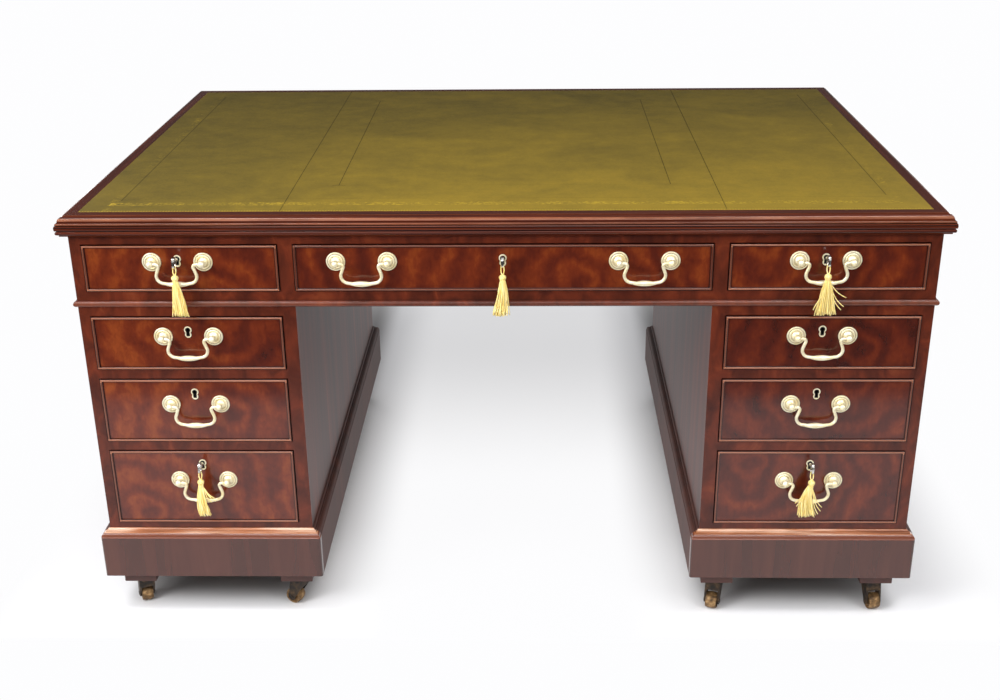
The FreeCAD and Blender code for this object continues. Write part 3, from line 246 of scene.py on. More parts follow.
def edging_wood(name):
    """Long grain that follows each length of edging, turning at the mitres, with painted highlights on the
    high places and painted shade in the quirks.
    """
    material, place, (x, y, z) = start(name)
    middle = (TOP[0] + TOP[1]) / 2
    wide = add(material, "Math", {0: x}, operation="ABSOLUTE")
    from_side = add(material, "Math", {0: TOP[1].x, 1: wide}, operation="SUBTRACT")
    off_middle = add(material, "Math", {0: y, 1: middle.y}, operation="SUBTRACT")
    deep = add(material, "Math", {0: off_middle}, operation="ABSOLUTE")
    from_front = add(material, "Math", {0: TOP[1].y - middle.y, 1: deep}, operation="SUBTRACT")
    runs_across = add(material, "Math", {0: from_front, 1: from_side}, operation="LESS_THAN")
    along = add(material, "Mix", {"Factor": runs_across, "A": y, "B": x})
    out = add(material, "Math", {0: from_front, 1: from_side}, operation="MINIMUM")
    length = add(material, "CombineXYZ", {0: along, 1: out, 2: z})
    streaks = grain(material, length, (0.4, 0.006, 0.006), distortion=0.3)
    glint = grain(material, length, (0.09, 0.03, 0.03), detail=6.0)
    wood = add(material, "ValToRGB", {"Fac": streaks}, stops=[
        (0.25, "#2f1008"), (0.5, "#4a1b0c"), (0.7, "#672c13"),
    ])
    wear_and_highlight = add(material, "ValToRGB", {"Fac": glint}, stops=[(0.3, "#686868"), (0.62, "#c8c8c8")])
    moulded = add(material, "Math", {0: out, 1: BORDER}, operation="LESS_THAN")
    # Painted highlights: patchy pale bands along the crests of the moulding.
    crests = 0.0
    for crest, half_height, weight in CRESTS:
        near = add(material, "Math", {0: z, 1: TOP[1].z - crest, 2: half_height}, operation="COMPARE")
        crests = add(material, "Math", {0: near, 1: weight, 2: crests}, operation="MULTIPLY_ADD")
    highlit = add(material, "Math", {0: wear_and_highlight, 1: moulded}, operation="MULTIPLY")
    highlit = add(material, "Math", {0: highlit, 1: crests}, operation="MULTIPLY")
    colour = add(material, "MixRGB", {"Fac": highlit, "Color1": wood, "Color2": linear(PAINTED_HIGHLIGHT)})
    # Painted shade: dark lines along the two quirks of the moulding.
    for quirk in QUIRKS:
        near = add(material, "Math", {0: z, 1: TOP[1].z - quirk, 2: QUIRK_HALF}, operation="COMPARE")
        hollow_dark = add(material, "Math", {0: near, 1: moulded}, operation="MULTIPLY")
        colour = add(material, "MixRGB", {"Fac": hollow_dark, "Color1": colour, "Color2": linear("#1a0805")})
    return polish(material, colour, streaks, gloss=0.14, clear=0.0, shine=0.3)


dress("top_board", edging_wood("mahogany_edging"))


# WRITING LEATHER
# Three skivers of olive hide glued into the top and butted at two seams. Blind lines are pressed in with
# a hot tool, a gilt border runs round the edge, and years of wax and wear have mottled the dye.
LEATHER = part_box("leather_skivers")
SEAM = 380 * MM
LINE = 0.9 * MM
GILT = 46 * MM
SCALLOP = 4.8 * MM
PANEL = (163 * MM, 886 * MM, 300 * MM)
PANEL_CORNER = (288 * MM, 312 * MM)
LEFT_LINE, RIGHT_LINE, FRONT_LINE = -670 * MM, 668 * MM, 78 * MM
DEEP, FAINT, FAINTEST = 0.6, 0.2, 0.15


def tooled(material, across, along, at, start_at, end_at, depth):
    """A pressed straight line: its depth near its place and between its two ends, else 0."""
    near = add(material, "Math", {0: across, 1: at, 2: LINE}, operation="COMPARE")
    middle, half = (start_at + end_at) / 2, abs(end_at - start_at) / 2
    inside = add(material, "Math", {0: along, 1: middle, 2: half}, operation="COMPARE")
    pressed = add(material, "Math", {0: near, 1: inside}, operation="MULTIPLY")
    return add(material, "Math", {0: pressed, 1: depth}, operation="MULTIPLY")


def hide(name):
    """Waxed olive hide: soft mottling, a fine pebbled grain, pressed lines, a broken gilt border, and painted
    light and shade, lighter towards the front.

    The real pebble is too fine to show, so it is drawn coarser, about 4 mm.
    """
    material, place, (x, y, z) = start(name)
    front, back, side = LEATHER[0].y, LEATHER[1].y, LEATHER[1].x
    clouds = grain(material, place, (0.3, 0.2, 0.3), detail=4.0, distortion=0.8, shift=(1.7, 0, 0))
    blots = grain(material, place, (0.05, 0.045, 0.05), detail=9.0, roughness=0.78)
    pebble = grain(material, place, (0.0045, 0.004, 0.0045), detail=2.0)
    # Painted light and shade: the hide is drawn lighter towards the front and darker towards the back, and
    # less lightened at the left.
    near = add(material, "MapRange", {
        "Value": y, "From Min": back, "From Max": front, "To Min": 0.03, "To Max": 0.4,
    })
    shaded = add(material, "MapRange", {
        "Value": x, "From Min": -side, "From Max": -0.15 * side, "To Min": -0.62, "To Max": 0.0,
    })
    tone = add(material, "Math", {0: near, 1: shaded, 2: near}, operation="MULTIPLY_ADD")
    for cloud, weight in ((clouds, 0.4), (blots, 0.44), (pebble, 0.17)):
        tone = add(material, "Math", {0: cloud, 1: weight, 2: tone}, operation="MULTIPLY_ADD")
    colour = add(material, "ValToRGB", {"Fac": tone}, stops=[
        (0.3, "#3a331c"), (0.5, "#5a4e26"), (0.7, "#716029"), (0.94, "#8c752c"),
    ])
    panel_front, panel_back, panel_side = front + PANEL[0], front + PANEL[1], PANEL[2]
    lines = [
        (x, y, LEFT_LINE, front + 67 * MM, front + 935 * MM, DEEP),
        (x, y, RIGHT_LINE, front + 88 * MM, front + 931 * MM, DEEP),
        (y, x, panel_front, -panel_side, panel_side, FAINTEST),
        (y, x, front + FRONT_LINE, LEFT_LINE, RIGHT_LINE, FAINT),
    ]
    for hand in (-1, 1):
        lines.append((x, y, hand * SEAM, front, back, DEEP))
        lines.append((x, y, hand * panel_side, panel_front, panel_back, DEEP))
        for end in (panel_front, panel_back):
            lines.append((y, x, end, hand * PANEL_CORNER[0], hand * PANEL_CORNER[1], DEEP))
    pressed = tooled(material, *lines[0])
    for line in lines[1:]:
        pressed = add(material, "Math", {0: pressed, 1: tooled(material, *line)}, operation="MAXIMUM")
    colour = add(material, "MixRGB", {"Fac": pressed, "Color1": colour, "Color2": linear("#241d0d")})
    from_front = add(material, "Math", {0: y, 1: front}, operation="SUBTRACT")
    wide = add(material, "Math", {0: x}, operation="ABSOLUTE")
    from_side = add(material, "Math", {0: side, 1: wide}, operation="SUBTRACT")
    wear_and_highlight = grain(material, place, (0.12, 0.12, 0.05), detail=9.0, roughness=0.8)
    specks = grain(material, place, (0.006, 0.004, 0.006), detail=3.0)
    patchy = add(material, "Math", {0: wear_and_highlight, 1: specks}, operation="ADD")
    left_on = add(material, "MapRange", {"Value": patchy, "From Min": 0.98, "From Max": 1.2})
    traces = add(material, "MapRange", {"Value": patchy, "From Min": 1.08, "From Max": 1.25, "To Max": 0.5})
    front_band = add(material, "Math", {0: from_front, 1: GILT, 2: 9 * MM}, operation="COMPARE")
    side_band = add(material, "Math", {0: from_side, 1: GILT, 2: 7 * MM}, operation="COMPARE")
    within = add(material, "Math", {0: from_side, 1: GILT - 4 * MM}, operation="GREATER_THAN")
    front_gilt = add(material, "Math", {0: front_band, 1: left_on}, operation="MULTIPLY")
    front_gilt = add(material, "Math", {0: front_gilt, 1: within}, operation="MULTIPLY")
    gilt = add(material, "Math", {0: side_band, 1: traces, 2: front_gilt}, operation="MULTIPLY_ADD")
    turns = add(material, "Math", {0: x, 1: 2 * math.pi / SCALLOP}, operation="MULTIPLY")
    wave = add(material, "Math", {0: turns}, operation="SINE")
    edge = add(material, "Math", {0: wave, 1: 3.0 * MM, 2: 4.0 * MM}, operation="MULTIPLY_ADD")
    scalloped = add(material, "Math", {0: from_front, 1: edge}, operation="LESS_THAN")
    gilt = add(material, "Math", {0: scalloped, 1: 0.7, 2: gilt}, operation="MULTIPLY_ADD")
    gilt = add(material, "Math", {0: gilt, 1: 0.5}, operation="MULTIPLY", use_clamp=True)
    colour = add(material, "MixRGB", {"Fac": gilt, "Color1": colour, "Color2": linear("#c8a838")})
    sunk = add(material, "Math", {0: pebble, 1: pressed}, operation="SUBTRACT")
    relief = add(material, "Bump", {"Height": sunk, "Strength": 0.3, "Distance": 0.5 * MM})
    shader = add(material, "BsdfPrincipled", {
        "Base Color": colour, "Roughness": 0.6, "Specular IOR Level": 0.03, "Normal": relief,
    })
    add(material, "OutputMaterial", {"Surface": shader})
    return material


dress("leather_skivers", hide("olive_hide"))


# DRAWERS
# Nine fronts veneered in flame mahogany, each framed by a thin cock bead that stands proud, with a highlight
# painted along its crest. The boxes behind are oak, lapped to the front with dovetails.
DRAWERS = {
    # name: seed of the figure, how strong the painted highlight on its bead is, how light the veneer is at
    # its left and right end
    "left_frieze": (1, 0.8, 0.12, 0.06),
    "centre_frieze": (2, 0.3, 0.04, 0.09),
    "right_frieze": (3, 0.8, 0.09, 0.04),
    "left_upper": (4, 0.8, 0.14, -0.05),
    "left_middle": (5, 0.9, 0.17, 0.04),
    "left_lower": (6, 0.8, 0.1, 0.09),
    "right_upper": (7, 0.9, -0.02, -0.02),
    "right_middle": (8, 0.8, -0.02, 0.0),
    "right_lower": (9, 0.8, 0.05, 0.0),
}
BEAD = 5.6 * MM
FRONT_THICKNESS = 20 * MM
BEAD_CREST = 3.1 * MM


def flame(name, seed, bead_highlight, lights, low, high):
    """Flame veneer: upright plumes bent into rings round a point on the front, with soft bright patches. The
    bead round its edge is plainer, with a highlight painted along its crest, stronger on the top and bottom
    beads, and what lies behind the front is oak."""
    material, place, (x, y, z) = start(name)
    middle = (low + high) / 2
    half = (high - low) / 2
    shift = (seed * 3.7, 0, seed * 1.9)
    heart_x = middle.x - half.x * math.cos(seed * 2.1) * 0.7
    heart = Vector((heart_x, 0, middle.z - 0.06 * math.sin(seed * 1.3)))
    plumes = grain(material, place, (0.03, 0.03, 0.3), distortion=0.7, shift=shift)
    patches = grain(material, place, (0.11, 0.11, 0.07), detail=3.0, distortion=0.9, shift=shift)
    flecks = grain(material, place, (0.008, 0.02, 0.014), detail=3.0, distortion=0.6, shift=shift)
    about_heart = add(material, "Mapping", {"Vector": place, "Location": -heart})
    rings = add(material, "TexWave", {
        "Vector": about_heart, "Scale": 6.0, "Distortion": 7.0, "Detail": 3.0, "Detail Scale": 2.0,
    }, wave_type="RINGS", rings_direction="Y")
    pores = grain(material, place, PORES, detail=2.0)
    figure = add(material, "MapRange", {
        "Value": x, "From Min": low.x, "From Max": high.x, "To Min": lights[0], "To Max": lights[1],
    })
    for pattern, weight in ((plumes, 0.26), (patches, 0.2), (flecks, 0.24), (rings, 0.16)):
        figure = add(material, "Math", {0: pattern, 1: weight, 2: figure}, operation="MULTIPLY_ADD")
    veneer = add(material, "ValToRGB", {"Fac": figure}, stops=[
        (0.25, "#35110a"), (0.41, "#4c190c"), (0.55, "#61240e"), (0.73, "#813c16"),
    ])
    edges = []
    for part, at, reach in ((x, middle.x, half.x), (z, middle.z, half.z)):
        edges.append(add(material, "Math", {0: part, 1: at, 2: reach - BEAD}, operation="COMPARE"))
    field = add(material, "Math", {0: edges[0], 1: edges[1]}, operation="MULTIPLY")
    # Painted highlight: the outermost crest of the bead is mixed towards a pale pink, more on the top and
    # bottom beads than on the sides.
    crest = add(material, "Math", {0: y, 1: CASE_FRONT - BEAD_CREST}, operation="LESS_THAN")
    glint = add(material, "MapRange", {
        "Value": edges[1], "To Min": 0.8 * bead_highlight, "To Max": 0.25 * bead_highlight,
    })
    highlit = add(material, "Math", {0: crest, 1: glint}, operation="MULTIPLY")
    bead = add(material, "MixRGB", {"Fac": highlit, "Color1": linear("#45190d"), "Color2": linear(PAINTED_HIGHLIGHT)})
    colour = add(material, "MixRGB", {"Fac": field, "Color1": bead, "Color2": veneer})
    oak = add(material, "ValToRGB", {"Fac": grain(material, place, (0.02, 0.3, 0.012))}, stops=[
        (0.3, "#8a6238"), (0.7, "#b08a58"),
    ])
    box_start = CASE_FRONT + FRONT_THICKNESS + 0.3 * MM
    behind = add(material, "Math", {0: y, 1: box_start}, operation="GREATER_THAN")
    colour = add(material, "MixRGB", {"Fac": behind, "Color1": colour, "Color2": oak})
    return polish(material, colour, pores)


for name, (seed, bead_highlight, *lights) in DRAWERS.items():
    veneer = flame(name + "_flame_veneer", seed, bead_highlight, lights, *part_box(name + "_drawer"))
    dress(name + "_drawer", veneer)


# HANDLES, ESCUTCHEONS AND LOCKS
# Turned roses, cast swan-neck bails and thread escutcheons of brass, polished and lacquered, so they stay
# pale and bright, with a little dirt in the turned grooves. The locks behind and the keyholes are painted
# near black, as painted shade.
LOCKS = {
    # drawer: the eye of its keyhole, in mm
    "left_frieze": (-559.5, 721.5),
    "centre_frieze": (0, 721.5),
    "right_frieze": (549.5, 721.5),
    "left_upper": (-554.5, 590),
    "left_middle": (-554.5, 470.5),
    "left_lower": (-554.5, 328),
    "right_upper": (554.5, 590),
    "right_middle": (554.5, 470.5),
    "right_lower": (554.5, 328),
}
KEYHOLE_EYE = 4.6 * MM
KEYHOLE_NECK = 3.2 * MM
KEYHOLE_DROP = 11.5 * MM


def lacquered_brass(name, eye_x=None, eye_z=None):
    """Pale lacquered brass, satin from old polish and browned in its grooves. Behind the front, and round a
    lock's keyhole, whose eye is at eye_x and eye_z, it is painted near black and not metallic, as painted
    shade."""
    material, place, (x, y, z) = start(name)
    clouds = grain(material, place, (0.012, 0.012, 0.012), detail=4.0)
    colour = add(material, "ValToRGB", {"Fac": clouds}, stops=[(0.3, "#f2e2b0"), (0.6, "#fbf3d6")])
    colour = shade_and_grime(material, colour, "#8a6c34", 4 * MM, 0.7)
    # Painted shade: behind the front, and in the eye and neck of a keyhole, the brass is drawn near black and
    # not metallic, as the shade inside the lock.
    keyhole_shade = add(material, "Math", {0: y, 1: CASE_FRONT + 1 * MM}, operation="GREATER_THAN")
    if eye_x is not None:
        around = add(material, "Mapping", {
            "Vector": place, "Location": (-eye_x, 0, -eye_z), "Scale": (1.0, 0.0, 1.0),
        })
        away = add(material, "VectorMath", {0: around}, operation="LENGTH", take="Value")
        eye = add(material, "Math", {0: away, 1: KEYHOLE_EYE}, operation="LESS_THAN")
        narrow = add(material, "Math", {0: x, 1: eye_x, 2: KEYHOLE_NECK}, operation="COMPARE")
        neck_z = eye_z - KEYHOLE_DROP / 2
        below = add(material, "Math", {0: z, 1: neck_z, 2: KEYHOLE_DROP / 2}, operation="COMPARE")
        neck = add(material, "Math", {0: narrow, 1: below}, operation="MULTIPLY")
        for shape in (eye, neck):
            keyhole_shade = add(material, "Math", {0: keyhole_shade, 1: shape}, operation="MAXIMUM")
    colour = add(material, "MixRGB", {"Fac": keyhole_shade, "Color1": colour, "Color2": linear("#100a06")})
    metal = add(material, "MapRange", {"Value": keyhole_shade, "To Min": 0.7, "To Max": 0.0})
    relief = add(material, "Bump", {"Height": clouds, "Strength": 0.1, "Distance": 0.3 * MM})
    shader = add(material, "BsdfPrincipled", {
        "Base Color": colour, "Metallic": metal, "Roughness": 0.48, "Normal": relief,
    })
    add(material, "OutputMaterial", {"Surface": shader})
    return material


brass = lacquered_brass("lacquered_brass")
for node in nodes:
    if node.endswith("_bail"):
        dress(node, brass)
for name, (eye_x, eye_z) in LOCKS.items():
    dress(name + "_brasses", lacquered_brass(name + "_lacquered_brass", eye_x * MM, eye_z * MM))


# KEYS
# Steel keys, filed and polished, each with an oval bow on a round shank and a flat bit at its end.
# They are left in five of the locks and turn there.


def cut_steel(name):
    """Bright worn steel with a few darker patches."""
    material, place, parts = start(name)
    clouds = grain(material, place, (0.006, 0.006, 0.006), detail=4.0)
    colour = add(material, "ValToRGB", {"Fac": clouds}, stops=[(0.35, "#98948c"), (0.6, "#e6e4df")])
    shader = add(material, "BsdfPrincipled", {"Base Color": colour, "Metallic": 1.0, "Roughness": 0.24})
    add(material, "OutputMaterial", {"Surface": shader})
    return material


steel = cut_steel("cut_steel")
for node in nodes:
    if node.endswith("_key"):
        dress(node, steel)


# TASSELS
# Gold silk on each key: a two-ply cord looped through the bow, a round head bound at the neck, and a
# skirt of loose threads that spreads as it hangs, with a few threads pulled out to the side.
TASSELS = {
    # drawer: lean, half width and sideways bend of the skirt, then each stray thread's reach and drop, mm
    "left_frieze": (4, 14, 0, [(-10, 84)]),
    "centre_frieze": (-5, 14, 2, [(-13, 78), (9, 80)]),
    "right_frieze": (1, 19, 0, [(33, 52), (30, 68), (26, 74), (-21, 74)]),
    "left_lower": (1, 11, -3, [(20, 46), (22, 52), (24, 48), (17, 56), (25, 54)]),
    "right_lower": (-3, 17, -5, [(-24, 62), (-27, 56), (20, 72), (22, 64), (-20, 74), (16, 78)]),
}
CORD_LENGTH = 10 * MM
HEAD_RADIUS = 6 * MM
SKIRT_TOP = 19 * MM
LOOP_HALF_WIDTH, LOOP_LEAN, LOOP_RISE = 2.6 * MM, 3.6 * MM, 5.5 * MM


def tube(path, radius, sides):
    """A round tube: circles of the given radius set square to each path, joined ring by ring. path is an
    array of lines of points; radius one number per point."""
    lines, count = path.shape[0], path.shape[1]
    run = np.gradient(path, axis=1)
    run /= np.linalg.norm(run, axis=2, keepdims=True)
    side = np.cross(run, np.array([0.0, 1.0, 0.02]))
    side /= np.linalg.norm(side, axis=2, keepdims=True)
    up = np.cross(side, run)
    turn = np.linspace(0, 2 * np.pi, sides, endpoint=False)
    ring = (side[:, :, None] * np.cos(turn)[:, None] + up[:, :, None] * np.sin(turn)[:, None])
    points = path[:, :, None] + ring * np.broadcast_to(radius, path.shape[:2])[:, :, None, None]
    index = np.arange(lines * count * sides).reshape(lines, count, sides)
    across = np.roll(index, -1, axis=2)
    quads = np.stack([index[:, :-1], across[:, :-1], across[:, 1:], index[:, 1:]], axis=-1).reshape(-1, 4)
    caps = np.concatenate([index[:, 0, ::-1], index[:, -1]])
    return points.reshape(-1, 3), quads.tolist() + caps.tolist()


def turned(profile, steps, flutes, flute_depth):
    """A turned form: radius against height from profile, spun round Z, with a wave of flutes round it."""
    angle = np.linspace(0, 2 * np.pi, steps, endpoint=False)
    radius = profile[:, None, 0] * (1 + flute_depth * np.cos(flutes * angle)[None])
    points = np.stack([radius * np.cos(angle), radius * np.sin(angle),
                       np.broadcast_to(profile[:, None, 1], radius.shape)], axis=-1)
    index = np.arange(len(profile) * steps).reshape(len(profile), steps)
    across = np.roll(index, -1, axis=1)
    quads = np.stack([index[:-1], across[:-1], across[1:], index[1:]], axis=-1).reshape(-1, 4)
    return points.reshape(-1, 3), quads.tolist() + [index[0, ::-1].tolist(), index[-1].tolist()]


def cord_and_head():
    """A loop of two twisted plies, x = 2.6 sin t, z rising as (1 - cos t) / 2, over a fluted round head."""
    made = []
    turn = np.linspace(0, 2 * np.pi, 49)
    rise = (1 - np.cos(turn)) / 2
    loop_z = -CORD_LENGTH + (CORD_LENGTH + LOOP_RISE) * rise
    loop = np.stack([LOOP_HALF_WIDTH * np.sin(turn), LOOP_LEAN * rise, loop_z], axis=-1)
    for side in (0, np.pi):
        twist = 9 * turn + side
        ply = np.stack([np.cos(twist), np.sin(twist), np.zeros_like(turn)], axis=-1) * 0.55 * MM
        made.append(tube((loop + ply)[None], 0.75 * MM, 6))
    bend = np.linspace(0.25, np.pi - 0.5, 14)
    head_z = -CORD_LENGTH - HEAD_RADIUS * (1 - np.cos(bend)) * 0.92
    head = np.stack([HEAD_RADIUS * np.sin(bend), head_z], axis=-1)
    made.append(turned(head[::-1], 40, 20, 0.035))
    wound = np.linspace(0, 1, 31)
    rope = np.abs(np.sin(3 * np.pi * wound))
    binding = np.stack([4.0 * MM + 0.6 * MM * rope, -SKIRT_TOP - 1.8 * MM + 2.4 * MM * wound], axis=-1)
    made.append(turned(binding, 24, 12, 0.01))
    return made


def skirt(luck, length, lean, half_width, bend, strays):
    """Threads from the bound neck to the hem: each falls from its place in a sunflower spiral at the neck to
    the same place in a wider, flattened one at the hem, swayed by a sine, and stray ones bow out sideways."""
    threads, steps = 62, 14
    number = np.arange(threads)
    reach = np.sqrt((number + 0.5) / threads)
    angle = number * math.pi * (3 - math.sqrt(5))
    fall = np.linspace(0, 1, steps)[None]
    spread = fall ** 0.8
    hem = length - luck.uniform(0, 9 * MM, threads) * luck.uniform(0, 1, threads)
    hem_x = half_width * reach * np.cos(angle) + lean + luck.normal(0, 1.2 * MM, threads)
    hem_y = 5.4 * MM * reach * np.sin(angle)
    top_x, top_y = 3.4 * MM * reach * np.cos(angle), 3.4 * MM * reach * np.sin(angle)
    wave = luck.uniform(0, 2 * np.pi, (threads, 1))
    sway = 0.9 * MM * np.sin(2 * np.pi * fall * luck.uniform(0.6, 1.8, (threads, 1)) + wave) * fall
    path = np.stack([
        top_x[:, None] * (1 - spread) + hem_x[:, None] * spread + sway + bend * np.sin(np.pi * fall),
        top_y[:, None] * (1 - spread) + hem_y[:, None] * spread + 0.6 * sway,
        -SKIRT_TOP - (hem[:, None] - SKIRT_TOP) * fall,
    ], axis=-1)
    made = [tube(path, 0.85 * MM, 5)]
    for side, drop in strays:
        out = fall[0] ** 1.3
        curl = 1.5 * MM * np.sin(2 * np.pi * fall[0])
        line_z = -SKIRT_TOP - (drop - SKIRT_TOP) * fall[0] ** 0.8
        line = np.stack([side * out + curl, -3.0 * MM * fall[0], line_z], axis=-1)
        made.append(tube(line[None], 0.8 * MM, 5))
    return made


def tassel(name, seed, lean, half_width, bend, strays):
    """The silk of one tassel, hung from the top of its CAD solid."""
    low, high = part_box(name + "_tassel")
    key_low, key_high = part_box(name + "_key")
    cord_top = np.array(((key_low.x + key_high.x) / 2, (low.y + high.y) / 2, high.z))
    strays = [(side * MM, drop * MM) for side, drop in strays]
    luck = np.random.default_rng(seed)
    made = cord_and_head() + skirt(luck, high.z - low.z, lean * MM, half_width * MM, bend * MM, strays)
    points, faces, count = [], [], 0
    for piece_points, piece_faces in made:
        points.append(piece_points + cord_top)
        faces += [[corner + count for corner in face] for face in piece_faces]
        count += len(piece_points)
    mesh = bpy.data.meshes.new(name + "_silk_tassel")
    mesh.from_pydata(np.concatenate(points).tolist(), [], faces)
    mesh.polygons.foreach_set("use_smooth", [True] * len(mesh.polygons))
    mesh.update()
    piece = bpy.data.objects.new(name + "_silk_tassel", mesh)
    bpy.context.scene.collection.objects.link(piece)
    return piece


def gold_silk(name):
    """Silk thread: warm gold, with pale cream streaks along the threads as painted highlights, and a soft
    sheen along the thread.

    Real threads are too fine to show, so the streaks are drawn coarser, 1.6 mm wide.
    """
    material, place, parts = start(name)
    threads = grain(material, place, (0.0016, 0.0016, 0.03), detail=3.0)
    colour = add(material, "ValToRGB", {"Fac": threads}, stops=[
        (0.3, "#e2bd58"), (0.52, "#f6e08e"), (0.75, "#fff8cc"),
    ])
    shader = add(material, "BsdfPrincipled", {
        "Base Color": colour, "Roughness": 0.42, "Specular IOR Level": 0.5, "Sheen Weight": 0.4,
        "Sheen Roughness": 0.3, "Sheen Tint": linear("#fff0c0"),
    })
    add(material, "OutputMaterial", {"Surface": shader})
    return material


silk = gold_silk("gold_silk")
for seed, (name, hang) in enumerate(TASSELS.items(), start=11):
    piece = tassel(name, seed, *hang)
    piece.data.materials.append(silk)
    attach(piece, name + "_slider")
    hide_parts(name + "_tassel")


# CASTORS
# Under each corner block an iron horn swivels on its stem and holds a brass wheel on an axle. The horns
# are blackened and rusting, and the wheels dull and scuffed from the floor.


def black_iron(name):
    """Blackened cast iron, browned with rust."""
    material, place, parts = start(name)
    clouds = grain(material, place, (0.01, 0.01, 0.01), detail=6.0)
    colour = add(material, "ValToRGB", {"Fac": clouds}, stops=[
        (0.4, "#1d1815"), (0.58, "#40301f"), (0.75, "#6b5238"),
    ])
    relief = add(material, "Bump", {"Height": clouds, "Strength": 0.4, "Distance": 0.5 * MM})
    shader = add(material, "BsdfPrincipled", {
        "Base Color": colour, "Metallic": 0.4, "Roughness": 0.6, "Normal": relief,
    })
    add(material, "OutputMaterial", {"Surface": shader})
    return material


def worn_brass(name):
    """Old brass, brown with handling, with lighter and darker patches."""
    material, place, parts = start(name)
    clouds = grain(material, place, (0.008, 0.008, 0.008), detail=6.0)
    colour = add(material, "ValToRGB", {"Fac": clouds}, stops=[
        (0.35, "#4a3722"), (0.55, "#83643f"), (0.75, "#b8976a"),
    ])
    shader = add(material, "BsdfPrincipled", {"Base Color": colour, "Metallic": 0.5, "Roughness": 0.5})
    add(material, "OutputMaterial", {"Surface": shader})
    return material


iron = black_iron("black_iron")
tread = worn_brass("worn_brass")
for node in nodes:
    if node.endswith("_castor_horn"):
        dress(node, iron)
    if node.endswith("_castor_wheel"):
        dress(node, tread)


# STUDIO
# A pale paper floor that runs out to white, soft lights at each side, overhead and behind, and a fill behind
# the camera, which stands at eye level a little right of the middle.
FLOOR_LEFT, FLOOR_RIGHT, FLOOR_FRONT, FLOOR_BACK = -3.2, 3.2, -1.5, 4.5
PAPER_WHITE = (0.985, 0.985, 0.995, 1.0)


def seen_from(owner):
    """1 for what the eye sees, straight on, mirrored or through glass, and 0 for light falling on things."""
    eye = add(owner, "LightPath", take="Is Camera Ray")
    for ray in ("Is Glossy Ray", "Is Transmission Ray"):
        eye = add(owner, "Math", {0: eye, 1: add(owner, "LightPath", take=ray)}, operation="MAXIMUM")
    return eye


def paper(name):
    """Pale paper: lit near the desk, so it keeps the shadow, and plain white to the eye further out. Under
    the plinths it is drawn grey as a painted shadow, and in the kneehole it glows white to the eye as painted
    light over the desk's shadow.
    """
    material, place, (x, y, z) = start(name)
    wide = add(material, "Math", {0: x}, operation="ABSOLUTE")
    fades = {
        # zone: what it runs along, where it starts and ends, and its values there
        "beside": (wide, 0.78, 1.0, 0.0, 1.0),
        "before": (y, -0.5, -0.6, 0.0, 1.0),
        "after": (y, 0.9, 2.2, 0.0, 1.0),
        "between": (wide, 0.22, 0.42, 1.0, 0.0),
        "inward": (y, 0.9, 0.0, 0.52, 0.97),
        "under_front": (y, -0.5, -0.4, 0.0, 1.0),
        "under_inner": (wide, 0.34, 0.42, 0.0, 1.0),
        "under_outer": (wide, 0.76, 0.7, 0.0, 1.0),
    }
    zone = {}
    for fade, (along, begin, end, low, high) in fades.items():
        zone[fade] = add(material, "MapRange", {
            "Value": along, "From Min": begin, "From Max": end, "To Min": low, "To Max": high,
        }, interpolation_type="SMOOTHSTEP")
    # Painted light: between the pedestals the paper glows white to the eye, most at the front of the
    # kneehole, lifting the desk's shadow there.
    white = add(material, "Math", {0: zone["between"], 1: zone["inward"]}, operation="MULTIPLY")
    for fade in ("beside", "before", "after"):
        white = add(material, "Math", {0: white, 1: zone[fade]}, operation="MAXIMUM")
    # Painted shadow: under the plinths the paper is drawn grey.
    under = zone["under_front"]
    for fade in ("under_inner", "under_outer"):
        under = add(material, "Math", {0: under, 1: zone[fade]}, operation="MULTIPLY")
    shade = add(material, "MixRGB", {"Fac": under, "Color1": linear("#f6f6f8"), "Color2": linear("#8e8c8c")})
    shown = add(material, "Math", {0: seen_from(material), 1: white}, operation="MULTIPLY")
    lit = add(material, "BsdfDiffuse", {"Color": shade})
    bare = add(material, "Emission", {"Color": PAPER_WHITE, "Strength": 1.0})
    add(material, "OutputMaterial", {"Surface": add(material, "MixShader", {0: shown, 1: lit, 2: bare})})
    return material


mesh = bpy.data.meshes.new("paper_floor")
mesh.from_pydata([
    (FLOOR_LEFT, FLOOR_FRONT, 0), (FLOOR_RIGHT, FLOOR_FRONT, 0),
    (FLOOR_RIGHT, FLOOR_BACK, 0), (FLOOR_LEFT, FLOOR_BACK, 0),
], [], [(0, 1, 2, 3)])
floor = bpy.data.objects.new("paper_floor", mesh)
bpy.context.scene.collection.objects.link(floor)
mesh.materials.append(paper("pale_paper"))

# The room: dim below the horizon and brighter overhead as a light, white where it is looked at
world = bpy.data.worlds.new("studio")
bpy.context.scene.world = world
world.use_nodes = True
world.node_tree.nodes.clear()
height = add(world, "SeparateXYZ", {0: add(world, "TexCoord", take="Generated")}, take="Z")
glow = add(world, "MapRange", {
    "Value": height, "From Min": 0.2, "From Max": 0.9, "To Min": 0.05, "To Max": 0.5,
})
above_floor = add(world, "MapRange", {"Value": height, "From Min": -0.08, "From Max": 0.02})
below_top = add(world, "MapRange", {"Value": height, "From Min": 0.16, "From Max": 0.08})
around = add(world, "Background", {"Color": (0.97, 0.98, 1.0, 1.0), "Strength": glow})
white = add(world, "Background", {"Color": PAPER_WHITE, "Strength": 1.0})
backdrop = add(world, "Math", {0: above_floor, 1: below_top}, operation="MULTIPLY")
upper = add(world, "Math", {0: seen_from(world), 1: backdrop}, operation="MULTIPLY")
shown = add(world, "Math", {0: upper, 1: add(world, "LightPath", take="Is Camera Ray")}, operation="MAXIMUM")
add(world, "OutputWorld", {"Surface": add(world, "MixShader", {0: shown, 1: around, 2: white})})


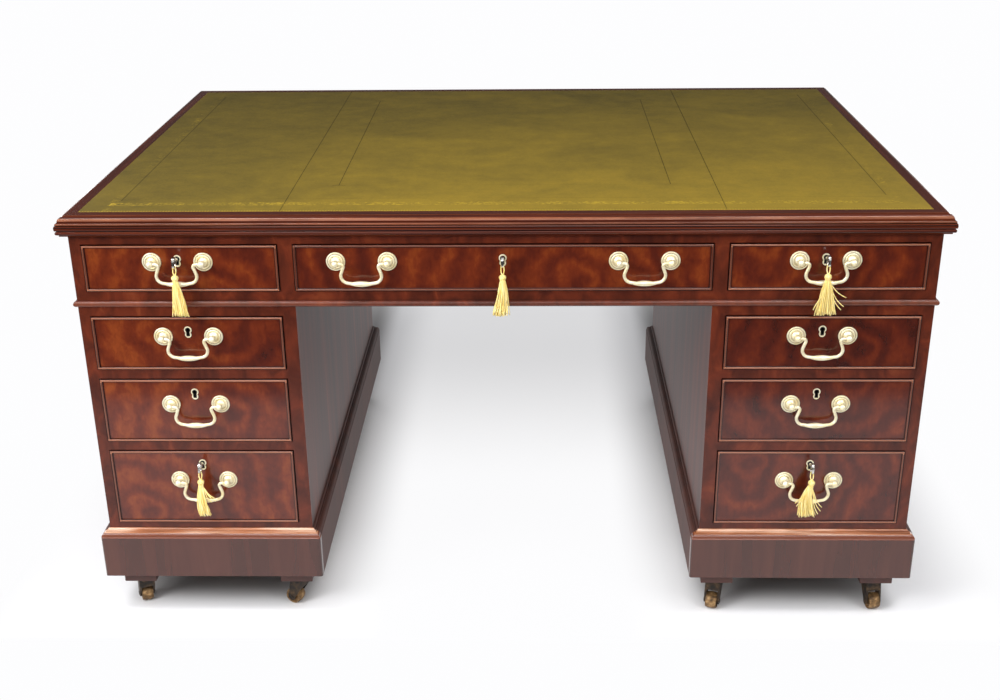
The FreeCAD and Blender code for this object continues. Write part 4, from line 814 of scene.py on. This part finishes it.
def soft_light(name, place, aim, size, power):
    """A soft light of a given width and height at a place, turned to face a point."""
    light = bpy.data.lights.new(name, "AREA")
    light.shape = "RECTANGLE"
    light.size, light.size_y = size
    light.energy = power
    lamp = bpy.data.objects.new(name, light)
    lamp.location = place
    lamp.rotation_euler = (Vector(aim) - Vector(place)).to_track_quat("-Z", "Y").to_euler()
    bpy.context.scene.collection.objects.link(lamp)


soft_light("left_softbox", (-2.3, -2.3, 2.0), (-0.3, -0.4, 0.5), (1.2, 1.2), 84)
soft_light("right_softbox", (2.3, -2.4, 2.2), (0.2, -0.2, 0.5), (1.2, 1.2), 34)
soft_light("front_fill", (0.0, -3.6, 2.1), (0.0, -0.5, 0.5), (2.6, 1.4), 34)
soft_light("left_strip", (-1.1, -1.5, 2.9), (-0.5, -0.5, 0.5), (1.1, 0.5), 24)
soft_light("right_strip", (1.1, -1.5, 2.9), (0.5, -0.5, 0.5), (1.1, 0.5), 20)
soft_light("left_back_fill", (-2.6, 2.7, 1.1), (0.0, 0.3, 0.5), (1.2, 1.2), 18)
soft_light("right_back_fill", (2.6, 2.7, 1.1), (0.0, 0.3, 0.5), (1.2, 1.2), 18)

# The camera's place, turn and lens were solved from the photograph's corners, for a 1000 by 700 picture
CAMERA = Vector((0.0487, -2.6504, 1.4447))
YAW, PITCH, ROLL = 0.0258, 0.4097, -0.0109
FOCAL_PIXELS, WIDTH_PIXELS, SHIFT_PIXELS = 1321.4, 1000, 20
SENSOR_MM = 36
level = Vector((math.cos(YAW), math.sin(YAW), 0))
ahead = Vector((-math.sin(YAW), math.cos(YAW), 0))
forward = ahead * math.cos(PITCH) - Vector((0, 0, math.sin(PITCH)))
upward = ahead * math.sin(PITCH) + Vector((0, 0, math.cos(PITCH)))
right = level * math.cos(ROLL) + upward * math.sin(ROLL)
top = upward * math.cos(ROLL) - level * math.sin(ROLL)
lens = bpy.data.cameras.new("camera")
lens.sensor_width = SENSOR_MM
lens.lens = SENSOR_MM * FOCAL_PIXELS / WIDTH_PIXELS
lens.shift_y = SHIFT_PIXELS / WIDTH_PIXELS
camera = bpy.data.objects.new("camera", lens)
camera.matrix_world = Matrix.Translation(CAMERA) @ Matrix((right, top, -forward)).transposed().to_4x4()
bpy.context.scene.collection.objects.link(camera)
bpy.context.scene.camera = camera
bpy.context.scene.view_settings.view_transform = "Standard"
